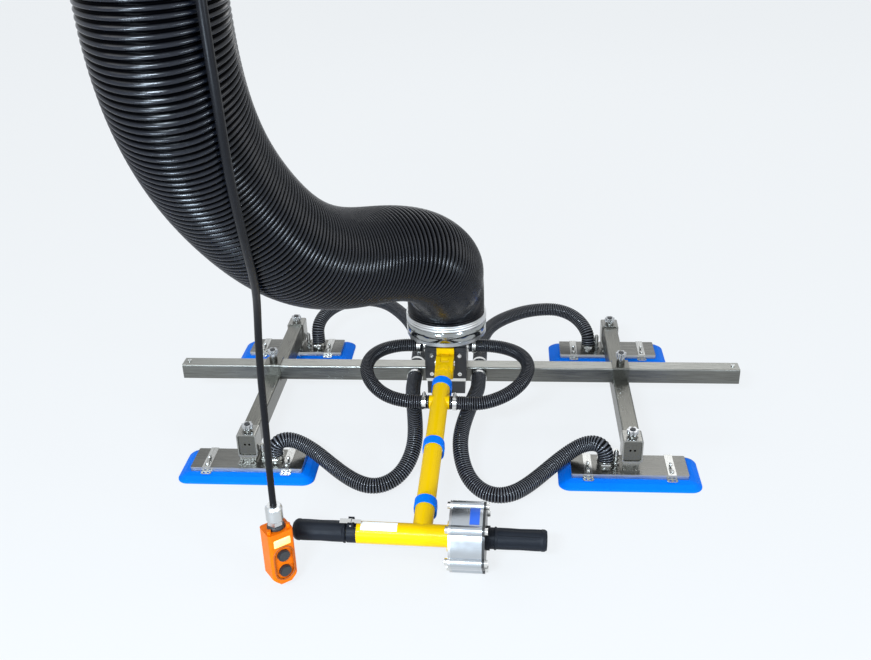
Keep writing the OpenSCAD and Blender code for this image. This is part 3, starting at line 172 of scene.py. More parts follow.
# Routes of the hoses, the lift tube and the cable: pulling points from the lift axis, in millimetres
routes = {
    "frontLeft": [(-79, -20.3, 107), (-79, -54.3, 107), (-79, -90.3, 107), (-76, -122, 105),
                  (-68, -180, 100), (-60, -240, 90), (-58, -290, 66), (-78, -338, 34), (-114, -368, 19),
                  (-155, -378, 18), (-200, -352, 20), (-248, -308, 26), (-290, -274, 40),
                  (-325, -264, 58), (-352, -270, 72), (-374, -282, 72), (-382, -285, 54),
                  (-382, -285, 43), (-382, -285, 31)],
    "frontRight": [(79, -20.3, 107), (79, -54.3, 107), (79, -90.3, 107), (72, -122, 106), (60, -175, 100),
                   (48, -235, 92), (42, -290, 76), (55, -345, 40), (88, -384, 19), (130, -405, 18),
                   (175, -388, 18), (225, -328, 22), (272, -280, 38), (312, -262, 60), (342, -268, 74),
                   (363, -282, 74), (371, -285, 54), (371, -285, 43), (371, -285, 31)],
    "rearLeft": [(-79, 20.3, 107), (-79, 54.3, 107), (-79, 90.3, 107), (-83, 135, 108), (-94, 190, 111),
                 (-113, 250, 114), (-140, 300, 117), (-172, 347, 119), (-208, 383, 120), (-258, 398, 120),
                 (-315, 385, 119), (-358, 345, 112), (-380, 306, 95), (-383, 287, 74), (-382, 285, 54),
                 (-382, 285, 43), (-382, 285, 31)],
    "rearRight": [(79, 20.3, 107), (79, 54.3, 107), (79, 90.3, 107), (79, 135, 107), (84, 188, 108),
                  (98, 240, 109), (128, 284, 111), (170, 322, 111), (206, 348, 110), (262, 366, 108),
                  (300, 364, 104), (333, 345, 97), (356, 315, 86), (369, 291, 70), (371, 285, 54),
                  (371, 285, 43), (371, 285, 31)],
    "loopLeft": [(-55, -20, 188), (-82, -20, 188), (-108, -20, 188), (-146, -34, 188), (-176, -68, 187),
                 (-188, -116, 181), (-174, -168, 169), (-134, -208, 153), (-86.5, -221.6, 147.2),
                 (-56.5, -222.5, 147), (-27.8, -223.4, 146.9)],
    "loopRight": [(55, -20, 188), (82, -20, 188), (108, -20, 188), (146, -31, 188), (184, -60, 187),
                  (203, -108, 181), (190, -163, 169), (148, -206, 154), (95.4, -227.2, 146.1),
                  (67.4, -226.4, 146.3), (43.4, -225.6, 146.4), (18.7, -224.9, 146.6)],
    "tube": [(0, 0, 262.3), (0, 0, 282), (0, 0, 304), (0, -20, 355), (0, -90, 400), (5, -185, 450),
             (5, -285, 510), (-25, -360, 565), (-80, -415, 590), (-130, -480, 605), (-175, -570, 640),
             (-215, -665, 700), (-250, -750, 785), (-275, -840, 890), (-280, -915, 1000),
             (-280, -945, 1100), (-280, -945, 1180), (-280, -945, 1249.7)],
    "cable": [(-200, -1010, 1267.7), (-200, -1010, 1170), (-200, -1005, 1100), (-202, -990, 1030),
              (-206, -970, 965), (-212, -942.5, 900), (-218, -902.5, 830), (-226, -852.5, 755),
              (-236, -797.5, 690), (-252, -745, 630), (-265, -716, 560), (-273, -702, 480),
              (-278, -690, 400), (-282, -681, 320), (-286, -677.04, 250), (-286, -677.04, 176.3)],
}

# Ribbed hoses in millimetres: outside and bore are radii, rows the steps along one rib. The lift tube's
# pitch, and its relief as a share of the groove's depth, are each given at shares of its length
padHose = {"outside": 18.0, "groove": 1.5, "bore": 12.6, "pitch": 5.4, "rows": 6, "sides": 30,
           "innerShare": 0.55, "stiffStart": 40, "stiffEnd": 30}
loopHose = {"outside": 16.0, "groove": 1.4, "bore": 11.1, "pitch": 5.0, "rows": 6, "sides": 28,
            "stiff": 50}
liftTube = {"outside": 92.6, "groove": 4.4, "bore": 85.5, "rows": 6, "sides": 80, "samples": 2000,
            "pitch": ((0, 6.0), (0.25, 8.0), (0.42, 11.5), (0.68, 11.5), (0.85, 9.0), (1, 8.3)),
            "relief": ((0, 0.8), (0.33, 0.9), (0.7, 1), (1, 1))}
cableSize = {"radius": 6.5, "sides": 16, "rows": 260}
grooveShape = 1.6   # above 1 it makes the groove narrower than the rib


# Depth of the groove along the ribs: one cosine wave for each rib, 0 on its crest and 1 in the groove
def grooveDepth(phase):
    return 0.5 + 0.5 * np.cos(2 * np.pi * phase)


# Radius along the ribs: the outside less the groove, its wave raised to the power of grooveShape
def ribRadius(phase, size):
    return (size["outside"] - size["groove"] * grooveDepth(phase) ** grooveShape) * mm


# One ribbed hose between two lengths of its line, with a whole number of ribs
def ribbedHose(name, line, size, start, end):
    ribs = max(2, round((end - start) / (size["pitch"] * mm)))
    phase = np.arange(ribs * size["rows"] + 1) / size["rows"]
    s = start + (end - start) * phase / ribs
    piece = tubeMesh(name, line, s, ribRadius(phase, size), size["sides"], size["bore"] * mm)
    depth = grooveDepth(np.concatenate([[0], phase, [0]]))
    keepNumber(piece, "groove", np.repeat(depth, size["sides"]))
    return piece


def mixAlong(piece):
    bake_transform(piece)


# Name of a CAD node in this script's spelling
def camelCase(node):
    first, *rest = node.split("_")
    return first + "".join(word.title() for word in rest)


# Middles of the four pads, from the lift axis in millimetres
padMiddles = {"front_left": (-444, -285), "front_right": (423, -285),
              "rear_left": (-444, 285), "rear_right": (423, 285)}

# Each pad hose is in two pieces, from the frame to its arm and from the arm to its pad
hoses = []
for node in padMiddles:
    corner, arm = camelCase(node), node.split("_")[1] + "_arm"
    line = smoothRoute(routes[corner])
    whole = lengthAlong(line)[-1]
    half = round(padHose["innerShare"] * whole / (padHose["pitch"] * mm)) * padHose["pitch"] * mm
    inner = ribbedHose(corner + "HoseInner", line, padHose, 0, half)
    outer = ribbedHose(corner + "HoseOuter", line, padHose, half, whole)
    mixAlong(inner)
    mixAlong(outer)
    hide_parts("hose_" + node)
    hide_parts("hose_" + node)
    hoses += [inner, outer]
for side in ("left", "right"):
    line = smoothRoute(routes["loop" + side.title()])
    whole = lengthAlong(line)[-1]
    loop = ribbedHose(side + "LoopHose", line, loopHose, 0, whole)
    mixAlong(loop)
    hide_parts("loop_hose_" + side)
    hoses.append(loop)
print("hoses made")


# Lift tube: one ribbed tube, its ribs pressed together low down and furthest apart in the middle; they
# are counted by adding up length over pitch
def makeLiftTube(size):
    line = smoothRoute(routes["tube"])
    whole = lengthAlong(line)[-1]
    u = np.linspace(0, 1, size["samples"])
    pitch = np.interp(u, *np.array(size["pitch"]).T)
    count = np.concatenate([[0], np.cumsum(np.diff(u) * whole / (pitch[1:] * mm))])
    ribs = round(count[-1])
    phase = np.arange(ribs * size["rows"] + 1) / size["rows"]
    s = np.interp(phase / ribs, count / count[-1], u) * whole
    depth = grooveDepth(phase) ** grooveShape
    shallow = np.interp(s / whole, *np.array(size["relief"]).T)
    piece = tubeMesh("liftTubeSkin", line, s, (size["outside"] - size["groove"] * depth * shallow) * mm,
                     size["sides"], size["bore"] * mm)
    keepNumber(piece, "groove", np.repeat(np.concatenate([[0], depth, [0]]), size["sides"]))
    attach(piece, "lift_tube")
    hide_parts("lift_tube")
    return piece


tubeSkin = makeLiftTube(liftTube)
print("lift tube made,", len(tubeSkin.data.polygons), "faces")

cableLine = smoothRoute(routes["cable"])
cableLength = lengthAlong(cableLine)[-1]
cable = tubeMesh("pendantCable", cableLine, np.linspace(0, cableLength, cableSize["rows"]),
                 np.full(cableSize["rows"], cableSize["radius"] * mm), cableSize["sides"])
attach(cable, "lift_tube")
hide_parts("pendant_cable")
print("cable made")


# Frames of the part, from the lift axis in millimetres and degrees
handle = {"pivot": (0, -82, 175), "tilt": 11.255, "slew": 1.8, "reach": 536}
pendant = {"place": (-286, -677.04, 18), "turn": 38, "depth": 44, "height": 118,
           "buttonUp": 65, "buttonDown": 29, "rimRadius": 19.9}


# Matrix that takes millimetres in a frame to metres in the scene
def placeOf(at, tilt=0.0, turn=0.0):
    shift = Matrix.Translation(Vector(liftAxis) + Vector(at) * mm)
    turned = Matrix.Rotation(math.radians(tilt), 4, "X") @ Matrix.Rotation(math.radians(turn), 4, "Z")
    return shift @ turned @ Matrix.Scale(mm, 4)


handlePlace = placeOf(handle["pivot"], handle["tilt"], -handle["slew"])
crossPlace = handlePlace @ Matrix.Translation((0, -handle["reach"], 0))
pendantPlace = placeOf(pendant["place"], 0, pendant["turn"])


def moved(points, place):
    m = np.array(place)
    return np.asarray(points, float) @ m[:3, :3].T + m[:3, 3]


# Profile of (radius, height) pairs turned round the third axis of its frame; on its fluted rows the
# radius falls and rises in a cosine wave, once for each flute
def turnedPiece(name, profile, place, sides=48, flutes=0, depth=0.0, fluted=(0, 0)):
    r, z = np.array(profile, float).T
    a = np.linspace(0, 2 * np.pi, sides, endpoint=False)
    dip = depth * (0.5 - 0.5 * np.cos(flutes * a)) if flutes else np.zeros(sides)
    inside = np.array([fluted[0] <= k < fluted[1] for k in range(len(r))])
    grown = r[:, None] - inside[:, None] * dip[None, :]
    grid = np.stack([grown * np.cos(a), grown * np.sin(a), np.repeat(z[:, None], sides, 1)], -1)
    return gridMesh(name, moved(grid, place), caps=(True, True))


# Convex outline drawn out from low to high, its upper and lower edges bevelled by soft
def plateGrid(outline, low, high, soft):
    flat = np.asarray(outline, float)
    middle = flat.mean(0)
    inset = middle + (flat - middle) * (1 - soft / np.abs(flat - middle).max())
    rows = ((inset, low), (flat, low + soft), (flat, high - soft), (inset, high))
    return np.stack([np.column_stack([o, np.full(len(o), h)]) for o, h in rows])


# Rounded rectangle: quarter circles of radius r about the four corners' centres
def roundedOutline(length, width, r, steps=7):
    a = np.linspace(0, np.pi / 2, steps)
    corners = [(1, 1, 0), (-1, 1, 1), (-1, -1, 2), (1, -1, 3)]
    return np.vstack([np.column_stack([x * (length / 2 - r) + r * np.cos(a + q * np.pi / 2),
                                       y * (width / 2 - r) + r * np.sin(a + q * np.pi / 2)])
                      for x, y, q in corners])


# Flat plate: the bevelled outline with both faces closed
def flatPlate(name, outline, low, high, soft, place):
    grid = plateGrid(outline, low, high, soft)
    return gridMesh(name, moved(grid, place), caps=(True, True))


# Several small pieces as one mesh
def joined(name, parts):
    verts, faces = [], []
    for o in parts:
        spots = np.empty(3 * len(o.data.vertices), np.float32)
        o.data.vertices.foreach_get("co", spots)
        faces += [[i + len(verts) for i in f.vertices] for f in o.data.polygons]
        verts += spots.reshape(-1, 3).tolist()
        bpy.data.objects.remove(o)
    return meshPiece(name, verts, faces)


# Thin plate bent round a tube that lies along the frame's first axis: a thin rectangle carried along an
# arc, its ends drawn to a point; its angles start at the front and go over the top
def bentPlate(name, place, size):
    a = np.radians(np.linspace(size["from"], size["to"], size["steps"]))
    x = np.array([size["x0"], size["x1"]], float)
    low, high = size["radius"], size["radius"] + size["thick"]
    loop = [(x[0], high), (x[1], high), (x[1], low), (x[0], low)]
    ends = [[(0.5 * (x[0] + x[1]), 0.5 * (low + high))] * 4]
    rows = np.array(ends + [loop] * len(a) + ends)
    turns = np.concatenate([a[:1], a, a[-1:]])[:, None]
    grid = np.stack([rows[..., 0], -rows[..., 1] * np.cos(turns), rows[..., 1] * np.sin(turns)], -1)
    piece = gridMesh(name, moved(grid, place))
    piece.data.shade_flat()
    return piece


# Turned frames: the third axis along the first one, and the third axis towards the front
lying = Matrix.Rotation(math.radians(90), 4, "Y")
facing = Matrix.Rotation(math.radians(90), 4, "X")

# Hand grips: rubber sleeves with six soft flats and a collar at each end; fluted gives the rows of the
# profile that have the flats
gripSleeve = {"radius": 21.2, "length": 104, "flats": 6, "depth": 1.2, "sides": 72, "fluted": (5, 10),
              "left": -148, "right": 141}


def makeGrip(name, x0, direction, body):
    g = gripSleeve
    r, n = g["radius"], g["length"]
    profile = [(16, 2), (r + 1.2, 2.6), (r + 1.6, 4), (r + 1.2, 6), (r - 0.4, 7.5), (r, 10), (r, 30),
               (r - 0.6, n * 0.5), (r, n - 24), (r, n - 14), (r - 0.4, n - 11), (r + 0.4, n - 9),
               (r + 0.2, n - 4), (r - 2.5, n + 0.8), (10, n + 1.6)]
    place = crossPlace @ Matrix.Translation((x0, 0, 0)) @ (lying if direction > 0 else lying.inverted())
    piece = turnedPiece(name, profile, place, g["sides"], g["flats"], g["depth"], g["fluted"])
    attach(piece, body)
    return piece


leftSleeve = makeGrip("leftGripSleeve", gripSleeve["left"], -1, "handle")
rightSleeve = makeGrip("rightGripSleeve", gripSleeve["right"], 1, "twist_grip")

# Bare label plates: bent ones on the valve housing and the cross tube, a flat one on the pendant
valveLabel = {"x0": 97, "x1": 116, "radius": 63.9, "thick": 0.5, "from": 71, "to": 109, "steps": 25}
crossLabel = {"x0": -119, "x1": -47, "radius": 21.9, "thick": 0.4, "from": 60, "to": 118, "steps": 25}
flatLabel = {"length": 34, "width": 17, "corner": 2, "thick": 0.9, "soft": 0.25, "sunk": 0.2,
             "height": 96.5}
labels = {}
for name, size in (("valveLabel", valveLabel), ("crossTubeLabel", crossLabel)):
    labels[name] = bentPlate(name, crossPlace, size)
    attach(labels[name], "handle")
labelSpot = Matrix.Translation((0, flatLabel["sunk"] - pendant["depth"] / 2, flatLabel["height"]))
labelOutline = roundedOutline(flatLabel["length"], flatLabel["width"], flatLabel["corner"])
pendantLabel = flatPlate("pendantLabel", labelOutline, 0, flatLabel["thick"], flatLabel["soft"],
                         pendantPlace @ labelSpot @ facing)
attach(pendantLabel, "lift_tube")

# Oval rim round the pendant's buttons, its orange darkened as painted shade: a small oval section carried
# round a stadium
rimSection = {"wide": 1.7, "high": 1.5, "sides": 10, "steps": 25}


def makeButtonRim():
    r, tall = pendant["rimRadius"], pendant["buttonUp"] - pendant["buttonDown"]
    a = np.linspace(0, np.pi, rimSection["steps"])
    upper = np.column_stack([r * np.cos(a), tall / 2 + r * np.sin(a)])
    line = np.vstack([upper, -upper])
    fromCentre = np.where(line[:, 1] > 0, line[:, 1] - tall / 2, line[:, 1] + tall / 2)
    out = unitRows(np.column_stack([line[:, 0], fromCentre]))
    b = np.linspace(0, 2 * np.pi, rimSection["sides"], endpoint=False)
    spread = line[None] + out[None] * (rimSection["wide"] * np.cos(b))[:, None, None]
    rise = np.repeat(rimSection["high"] * np.sin(b)[:, None, None], len(line), 1)
    grid = np.concatenate([spread, rise], -1)
    middle = 0.5 * (pendant["buttonUp"] + pendant["buttonDown"])
    place = pendantPlace @ Matrix.Translation((0, -pendant["depth"] / 2, middle)) @ facing
    piece = gridMesh("buttonRim", moved(grid, place), closeRows=True)
    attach(piece, "lift_tube")
    return piece


buttonRim = makeButtonRim()

# Black tie round the foot of the pendant's gland
tieProfile = [(12.5, 0), (16.4, 0.7), (17, 1.9), (15.8, 3.1), (16.8, 4.1), (17, 5.1), (15.9, 6.1),
              (16.3, 7.1), (15.6, 8.1), (12.5, 8.6)]
tieLift = 0.4   # above the pendant's top
glandTie = turnedPiece("glandTie", tieProfile,
                       pendantPlace @ Matrix.Translation((0, 0, pendant["height"] + tieLift)))
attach(glandTie, "lift_tube")

# Collars: a mirror band on each, and three bright rings above the band of the lower one
bandSection = [(91.8, 10), (96.2, 10), (96.6, 10.4), (96.6, 35.2), (96.2, 35.6), (91.8, 35.6)]
narrowSection = [(91.5, 9), (92.1, 9), (92.5, 9.4), (92.5, 26.6), (92.1, 27), (91.5, 27)]
ringSection = [(95.5, 36.4), (96.9, 36.8), (97.2, 38.5), (96.9, 40.9), (96.1, 41.5), (96.1, 42.7),
               (96.9, 43.3), (97.2, 45), (96.9, 46.9), (96.1, 47.5), (96.1, 48.7), (96.9, 49.3),
               (97.2, 51), (96.7, 53.1), (95.5, 53.1)]
bandSides = 120

# Where each collar starts, and whether its sections rise from there or hang
lowerCollar = {"centre": (0, 0, 222), "up": 1}
upperCollar = {"centre": (-280, -945, 1290), "up": -1}


# Section of (radius, height) pairs turned round an upright axis and closed on itself
def makeBand(name, section, centre, up):
    a = np.linspace(0, 2 * np.pi, bandSides, endpoint=False)
    r, z = np.array(section, float).T
    height = np.repeat(up * z[:, None], bandSides, 1)
    grid = np.stack([np.outer(r, np.cos(a)), np.outer(r, np.sin(a)), height], -1)
    band = gridMesh(name, moved(grid if up > 0 else grid[::-1], placeOf(centre)), closeRows=True)
    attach(band, "lift_tube")
    return band


bands = [makeBand("lowerCollarBand", bandSection, **lowerCollar),
         makeBand("upperCollarBand", narrowSection, **upperCollar)]
rings = [makeBand("lowerCollarRings", ringSection, **lowerCollar)]

# Latch pins: a short round pin with a head on each latch strap, and a low dome nut beside it
pinProfile = [(0.8, -8.5), (2.2, -8), (2.6, -7), (2.6, 3), (3.6, 3.4), (3.9, 5), (3.4, 6.8), (1.5, 7.6)]
domeProfile = [(5.4, 0), (5.4, 2.2), (4.6, 3.4), (2.6, 4.6), (0.8, 4.9)]
latches = {"reach": 92, "pinY": -4, "pinZ": 32.1, "pinLean": 68, "pinSides": 20,
           "domeY": -27, "domeZ": 27.3, "domeSides": 24}
pins = []
for pad, (x, y) in padMiddles.items():
    parts = []
    for side in (-1, 1):
        across = x + side * latches["reach"]
        leaning = placeOf((across, y + latches["pinY"], latches["pinZ"]), latches["pinLean"])
        upright = placeOf((across, y + latches["domeY"], latches["domeZ"]))
        parts.append(turnedPiece("pin", pinProfile, leaning, latches["pinSides"]))
        parts.append(turnedPiece("dome", domeProfile, upright, latches["domeSides"]))
    pins.append(joined(camelCase(pad) + "LatchPins", parts))
    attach(pins[-1], pad + "_pad")

# Black caps of the star knobs, with a rounded edge
capProfile = [(3.0, 0), (6.2, 0.3), (6.6, 1.2), (6.0, 2.0), (2.5, 2.5)]
capSides, capSunk = 32, 0.2 * mm
knobCaps = []
for node in [holder + "_knob" for holder in ("left_arm", "right_arm", *padMiddles)]:
    low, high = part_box(node)
    top = Vector(((low.x + high.x) / 2, (low.y + high.y) / 2, high.z - capSunk))
    cap = turnedPiece(camelCase(node) + "Cap", capProfile,
                      Matrix.Translation(top) @ Matrix.Scale(mm, 4), capSides)
    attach(cap, node)
    knobCaps.append(cap)
print("details made")


# Scales of the procedural noise, then what each kind of finish keeps: smoother and rougher are taken from
# and added to its roughness, and depths and the border are in metres
noiseScale = {"streak": 3.0, "blotch": 7.0, "mottle": 14.0, "rough": 60.0, "hoseRough": 120.0,
              "hoseGrain": 700.0}
brushed = {"across": 260.0, "along": 6.0, "spread": 0.18, "detail": 6, "blotch": 0.82,
           "smoother": 0.07, "rougher": 0.09, "bump": 0.12, "bumpDepth": 0.0004}
plain = {"roughVary": 0.12, "grainDetail": 2, "grainDepth": 0.0005, "coatRough": 0.08}
# Hose finish settings: the lower shine of the grooves goes with their painted shade
hoseSurface = {"smoother": 0.05, "rougher": 0.08, "grain": 0.08, "grainDepth": 0.0004, "grooveShine": 0.04,
        "coatRough": 0.12}
valvePlate = {"border": 0.055, "paint": 0.02, "metal": 0.6, "smoothest": 0.28, "roughest": 0.36}


def newMaterial(name):
    m = bpy.data.materials.new(name)
    m.use_nodes = True
    return m, m.node_tree.nodes, m.node_tree.links, m.node_tree.nodes["Principled BSDF"]


def noiseOf(nodes, links, scale, stretch=(1, 1, 1), detail=4):
    where = nodes.new("ShaderNodeTexCoord")
    placing = nodes.new("ShaderNodeMapping")
    placing.inputs["Scale"].default_value = stretch
    noise = nodes.new("ShaderNodeTexNoise")
    noise.inputs["Scale"].default_value = scale
    noise.inputs["Detail"].default_value = detail
    links.new(where.outputs["Object"], placing.inputs["Vector"])
    links.new(placing.outputs["Vector"], noise.inputs["Vector"])
    return noise.outputs["Fac"]


def rampOf(nodes, links, fac, stops):
    ramp = nodes.new("ShaderNodeValToRGB")
    for e, (place, colour) in zip(ramp.color_ramp.elements, stops):
        e.position = place
        e.color = (*colour, 1)
    links.new(fac, ramp.inputs["Fac"])
    return ramp.outputs["Color"]


def grey(v):
    return (v, v, v)


def greyRange(nodes, links, fac, low, high):
    return rampOf(nodes, links, fac, ((0.3, grey(low)), (0.7, grey(high))))


def multiplied(nodes, links, first, second):
    mix = nodes.new("ShaderNodeMix")
    mix.data_type = "RGBA"
    mix.blend_type = "MULTIPLY"
    mix.inputs["Factor"].default_value = 1
    links.new(first, mix.inputs["A"])
    links.new(second, mix.inputs["B"])
    return mix.outputs["Result"]


def bumpOf(nodes, links, height, strength, distance):
    bump = nodes.new("ShaderNodeBump")
    bump.inputs["Strength"].default_value = strength
    bump.inputs["Distance"].default_value = distance
    links.new(height, bump.inputs["Height"])
    return bump.outputs["Normal"]


# Brushed steel: fine streaks along one axis in colour, roughness and bump; upright faces are painted
# darker by a side factor below 1, as painted shade, and lighter by one above 1, as painted highlight
def brushedSteel(name, colour, along, paintedSideLight, rough=0.32):
    m, nodes, links, bsdf = newMaterial(name)
    stretch = [brushed["across"]] * 3
    stretch["XYZ".index(along)] = brushed["along"]
    fine = noiseOf(nodes, links, noiseScale["streak"], stretch, brushed["detail"])
    dark, light = ([c * (1 + s * brushed["spread"]) for c in colour] for s in (-1, 1))
    streaks = rampOf(nodes, links, fine, ((0.32, dark), (0.68, light)))
    # Painted light: the colour of upright faces is multiplied by the side factor, painted shade below 1
    # and painted highlight above 1
    where = nodes.new("ShaderNodeTexCoord")
    upward = nodes.new("ShaderNodeSeparateXYZ")
    links.new(where.outputs["Normal"], upward.inputs[0])
    paintedSideFactor = rampOf(nodes, links, upward.outputs["Z"], ((0.2, grey(paintedSideLight)), (0.8, grey(1.0))))
    blotch = greyRange(nodes, links, noiseOf(nodes, links, noiseScale["blotch"]), brushed["blotch"], 1.0)
    streaksWithPaintedLight = multiplied(nodes, links, streaks, paintedSideFactor)
    links.new(multiplied(nodes, links, streaksWithPaintedLight, blotch), bsdf.inputs["Base Color"])
    roughness = greyRange(nodes, links, fine, rough - brushed["smoother"], rough + brushed["rougher"])
    links.new(roughness, bsdf.inputs["Roughness"])
    links.new(bumpOf(nodes, links, fine, brushed["bump"], brushed["bumpDepth"]), bsdf.inputs["Normal"])
    bsdf.inputs["Metallic"].default_value = 1
    return m


# Plain finish with slight mottling in colour and roughness, and a fine grain where it is asked for
def plainFinish(name, colour, rough, grain=0.0, grainScale=900, metallic=0.0, coat=0.0, vary=0.08,
                shine=0.5):
    m, nodes, links, bsdf = newMaterial(name)
    low, high = [c * (1 - vary) for c in colour], [min(1, c * (1 + vary)) for c in colour]
    mottle = noiseOf(nodes, links, noiseScale["mottle"])
    links.new(rampOf(nodes, links, mottle, ((0.3, low), (0.7, high))), bsdf.inputs["Base Color"])
    patches = noiseOf(nodes, links, noiseScale["rough"])
    smoothest, roughest = rough * (1 - plain["roughVary"]), min(1, rough * (1 + plain["roughVary"]))
    links.new(greyRange(nodes, links, patches, smoothest, roughest), bsdf.inputs["Roughness"])
    if grain:
        height = noiseOf(nodes, links, grainScale, detail=plain["grainDetail"])
        links.new(bumpOf(nodes, links, height, grain, plain["grainDepth"]), bsdf.inputs["Normal"])
    bsdf.inputs["Metallic"].default_value = metallic
    bsdf.inputs["Coat Weight"].default_value = coat
    bsdf.inputs["Coat Roughness"].default_value = plain["coatRough"]
    bsdf.inputs["Specular IOR Level"].default_value = shine
    return m


# Two end plates in one node: bare metal below the border along X, black paint beyond it
def platePair(name, size):
    m, nodes, links, bsdf = newMaterial(name)
    where = nodes.new("ShaderNodeTexCoord")
    parts = nodes.new("ShaderNodeSeparateXYZ")
    below = nodes.new("ShaderNodeMath")
    below.operation = "LESS_THAN"
    below.inputs[1].default_value = size["border"]
    links.new(where.outputs["Object"], parts.inputs[0])
    links.new(parts.outputs["X"], below.inputs[0])
    bare = below.outputs[0]
    colour = rampOf(nodes, links, bare, ((0, grey(size["paint"])), (1, grey(size["metal"]))))
    links.new(colour, bsdf.inputs["Base Color"])
    links.new(bare, bsdf.inputs["Metallic"])
    patches = noiseOf(nodes, links, noiseScale["rough"])
    roughness = greyRange(nodes, links, patches, size["smoothest"], size["roughest"])
    links.new(roughness, bsdf.inputs["Roughness"])
    return m


# Black hose: its rib crests painted a dark grey and glossy, as a painted sheen on the black rubber; its
# grooves painted black and dull, as painted shade in the recesses
def hoseFinish(name, rib, groove, rough, coat, shine):
    m, nodes, links, bsdf = newMaterial(name)
    kept = nodes.new("ShaderNodeAttribute")
    kept.attribute_name = "groove"
    depth = kept.outputs["Fac"]
    # Painted light: the groove colour is painted shade in the grooves, and the lighter crest colour a
    # painted sheen
    links.new(rampOf(nodes, links, depth, ((0.05, rib), (0.6, groove))), bsdf.inputs["Base Color"])
    patches = noiseOf(nodes, links, noiseScale["hoseRough"])
    roughness = greyRange(nodes, links, patches, rough - hoseSurface["smoother"], rough + hoseSurface["rougher"])
    links.new(roughness, bsdf.inputs["Roughness"])
    grain = noiseOf(nodes, links, noiseScale["hoseGrain"])
    links.new(bumpOf(nodes, links, grain, hoseSurface["grain"], hoseSurface["grainDepth"]), bsdf.inputs["Normal"])
    dull = grey(hoseSurface["grooveShine"] * shine)
    links.new(rampOf(nodes, links, depth, ((0.1, grey(shine)), (0.6, dull))),
              bsdf.inputs["Specular IOR Level"])
    bsdf.inputs["Coat Weight"].default_value = coat
    bsdf.inputs["Coat Roughness"].default_value = hoseSurface["coatRough"]
    return m


# The fourth number of each brushed steel is its side factor: painted shade on the upright faces of the
# beam and arms, painted highlight on the pad holders and covers, none on the fittings
steelX = brushedSteel("steelAlongX", (0.31, 0.31, 0.285), "X", 0.56)
steelY = brushedSteel("steelAlongY", (0.17, 0.168, 0.15), "Y", 0.85)
holderSteel = brushedSteel("holderSteel", (0.27, 0.268, 0.25), "Y", 1.25, 0.28)
plateSteel = brushedSteel("plateSteel", (0.17, 0.168, 0.155), "X", 3.0, 0.30)
fittingSteel = brushedSteel("fittingSteel", (0.50, 0.50, 0.48), "Y", 1.0, 0.28)
satinAluminium = plainFinish("satinAluminium", (0.62, 0.63, 0.63), 0.34, metallic=1, vary=0.04)
bandMirror = plainFinish("bandMirror", (0.33, 0.345, 0.345), 0.12, metallic=1, vary=0.05)
knobMetal = plainFinish("knobMetal", (0.48, 0.49, 0.50), 0.2, metallic=1, vary=0.06)
polished = plainFinish("polishedMetal", (0.74, 0.74, 0.72), 0.16, metallic=1, vary=0.04)
castAluminium = plainFinish("valveAluminium", (0.52, 0.55, 0.58), 0.24, 0.05, metallic=1, vary=0.04)
blackPaint = plainFinish("blackPaint", (0.014, 0.014, 0.015), 0.38, 0.08, coat=0.2)
blackPlastic = plainFinish("blackPlastic", (0.018, 0.018, 0.019), 0.46, 0.12)
gripRubber = plainFinish("gripRubber", (0.009, 0.0105, 0.014), 0.44, 0.15, 1400, shine=0.1)
yellowPaint = plainFinish("yellowPaint", (0.66, 0.40, 0.001), 0.32, coat=0.04, vary=0.008, shine=0.08)
orangePlastic = plainFinish("orangePlastic", (0.62, 0.115, 0.001), 0.38, 0.05, coat=0.03, vary=0.04,
                            shine=0.08)
blueRubber = plainFinish("blueRubber", (0.0, 0.14, 0.66), 0.45, 0.05, vary=0.05, shine=0.05)
labelBlue = plainFinish("labelBlue", (0.01, 0.08, 0.42), 0.35, coat=0.3, vary=0.03)
labelWhite = plainFinish("labelWhite", (0.86, 0.88, 0.90), 0.35, coat=0.3, vary=0.02)
labelYellow = plainFinish("labelYellow", (0.92, 0.78, 0.22), 0.4, coat=0.2, vary=0.03)
# The rim's dark orange is the pendant's orange with painted shade
rimOrange = plainFinish("rimOrange", (0.30, 0.065, 0.004), 0.45, 0.06, shine=0.3)
# Their groove colours are painted shade in the grooves; the grey rib crests of the pad and loop hoses are
# a painted sheen
hoseBlack = hoseFinish("hoseBlack", (0.07, 0.073, 0.083), (0.001, 0.001, 0.0015), 0.2, 0.06, 0.55)
loopBlack = hoseFinish("loopBlack", (0.026, 0.028, 0.034), (0.0005, 0.0005, 0.001), 0.18, 0.08, 0.5)
tubeBlack = hoseFinish("tubeBlack", (0.004, 0.0048, 0.0075), (0.0003, 0.0003, 0.0005), 0.22, 0.0, 0.32)
cableBlack = plainFinish("cableBlack", (0.005, 0.005, 0.006), 0.36, 0.06, shine=0.12)

# Each finish with the CAD nodes that it covers
finishes = [
    (steelX, "main_beam beam_end_plugs"),
    (steelY, "left_arm right_arm hanging_eye"),
    (blackPaint, "beam_clamp head_block head_cover head_hub"),
    (polished, "clamp_plates head_screws pivot_pin hose_fittings thumb_lever handle_fasteners"),
    (yellowPaint, "pivot_bracket handle_frame"),
    (knobMetal, "left_arm_knob right_arm_knob"),
    (satinAluminium, "tube_collar top_collar pendant_gland"),
    (orangePlastic, "pendant_front pendant_back"),
    (blackPlastic, "button_up button_down"),
    (castAluminium, "top_swivel valve_housing"),
    (blueRubber, "strapped_line"),
    (gripRubber, "left_grip twist_grip"),
    (platePair("valvePlates", valvePlate), "valve_plates"),
]
padFinishes = {"holder": holderSteel, "cover": plateSteel, "lip": blueRubber, "fittings": fittingSteel,
               "knob": knobMetal}


def paint(piece, finish):
    piece.data.materials.clear()
    piece.data.materials.append(finish)


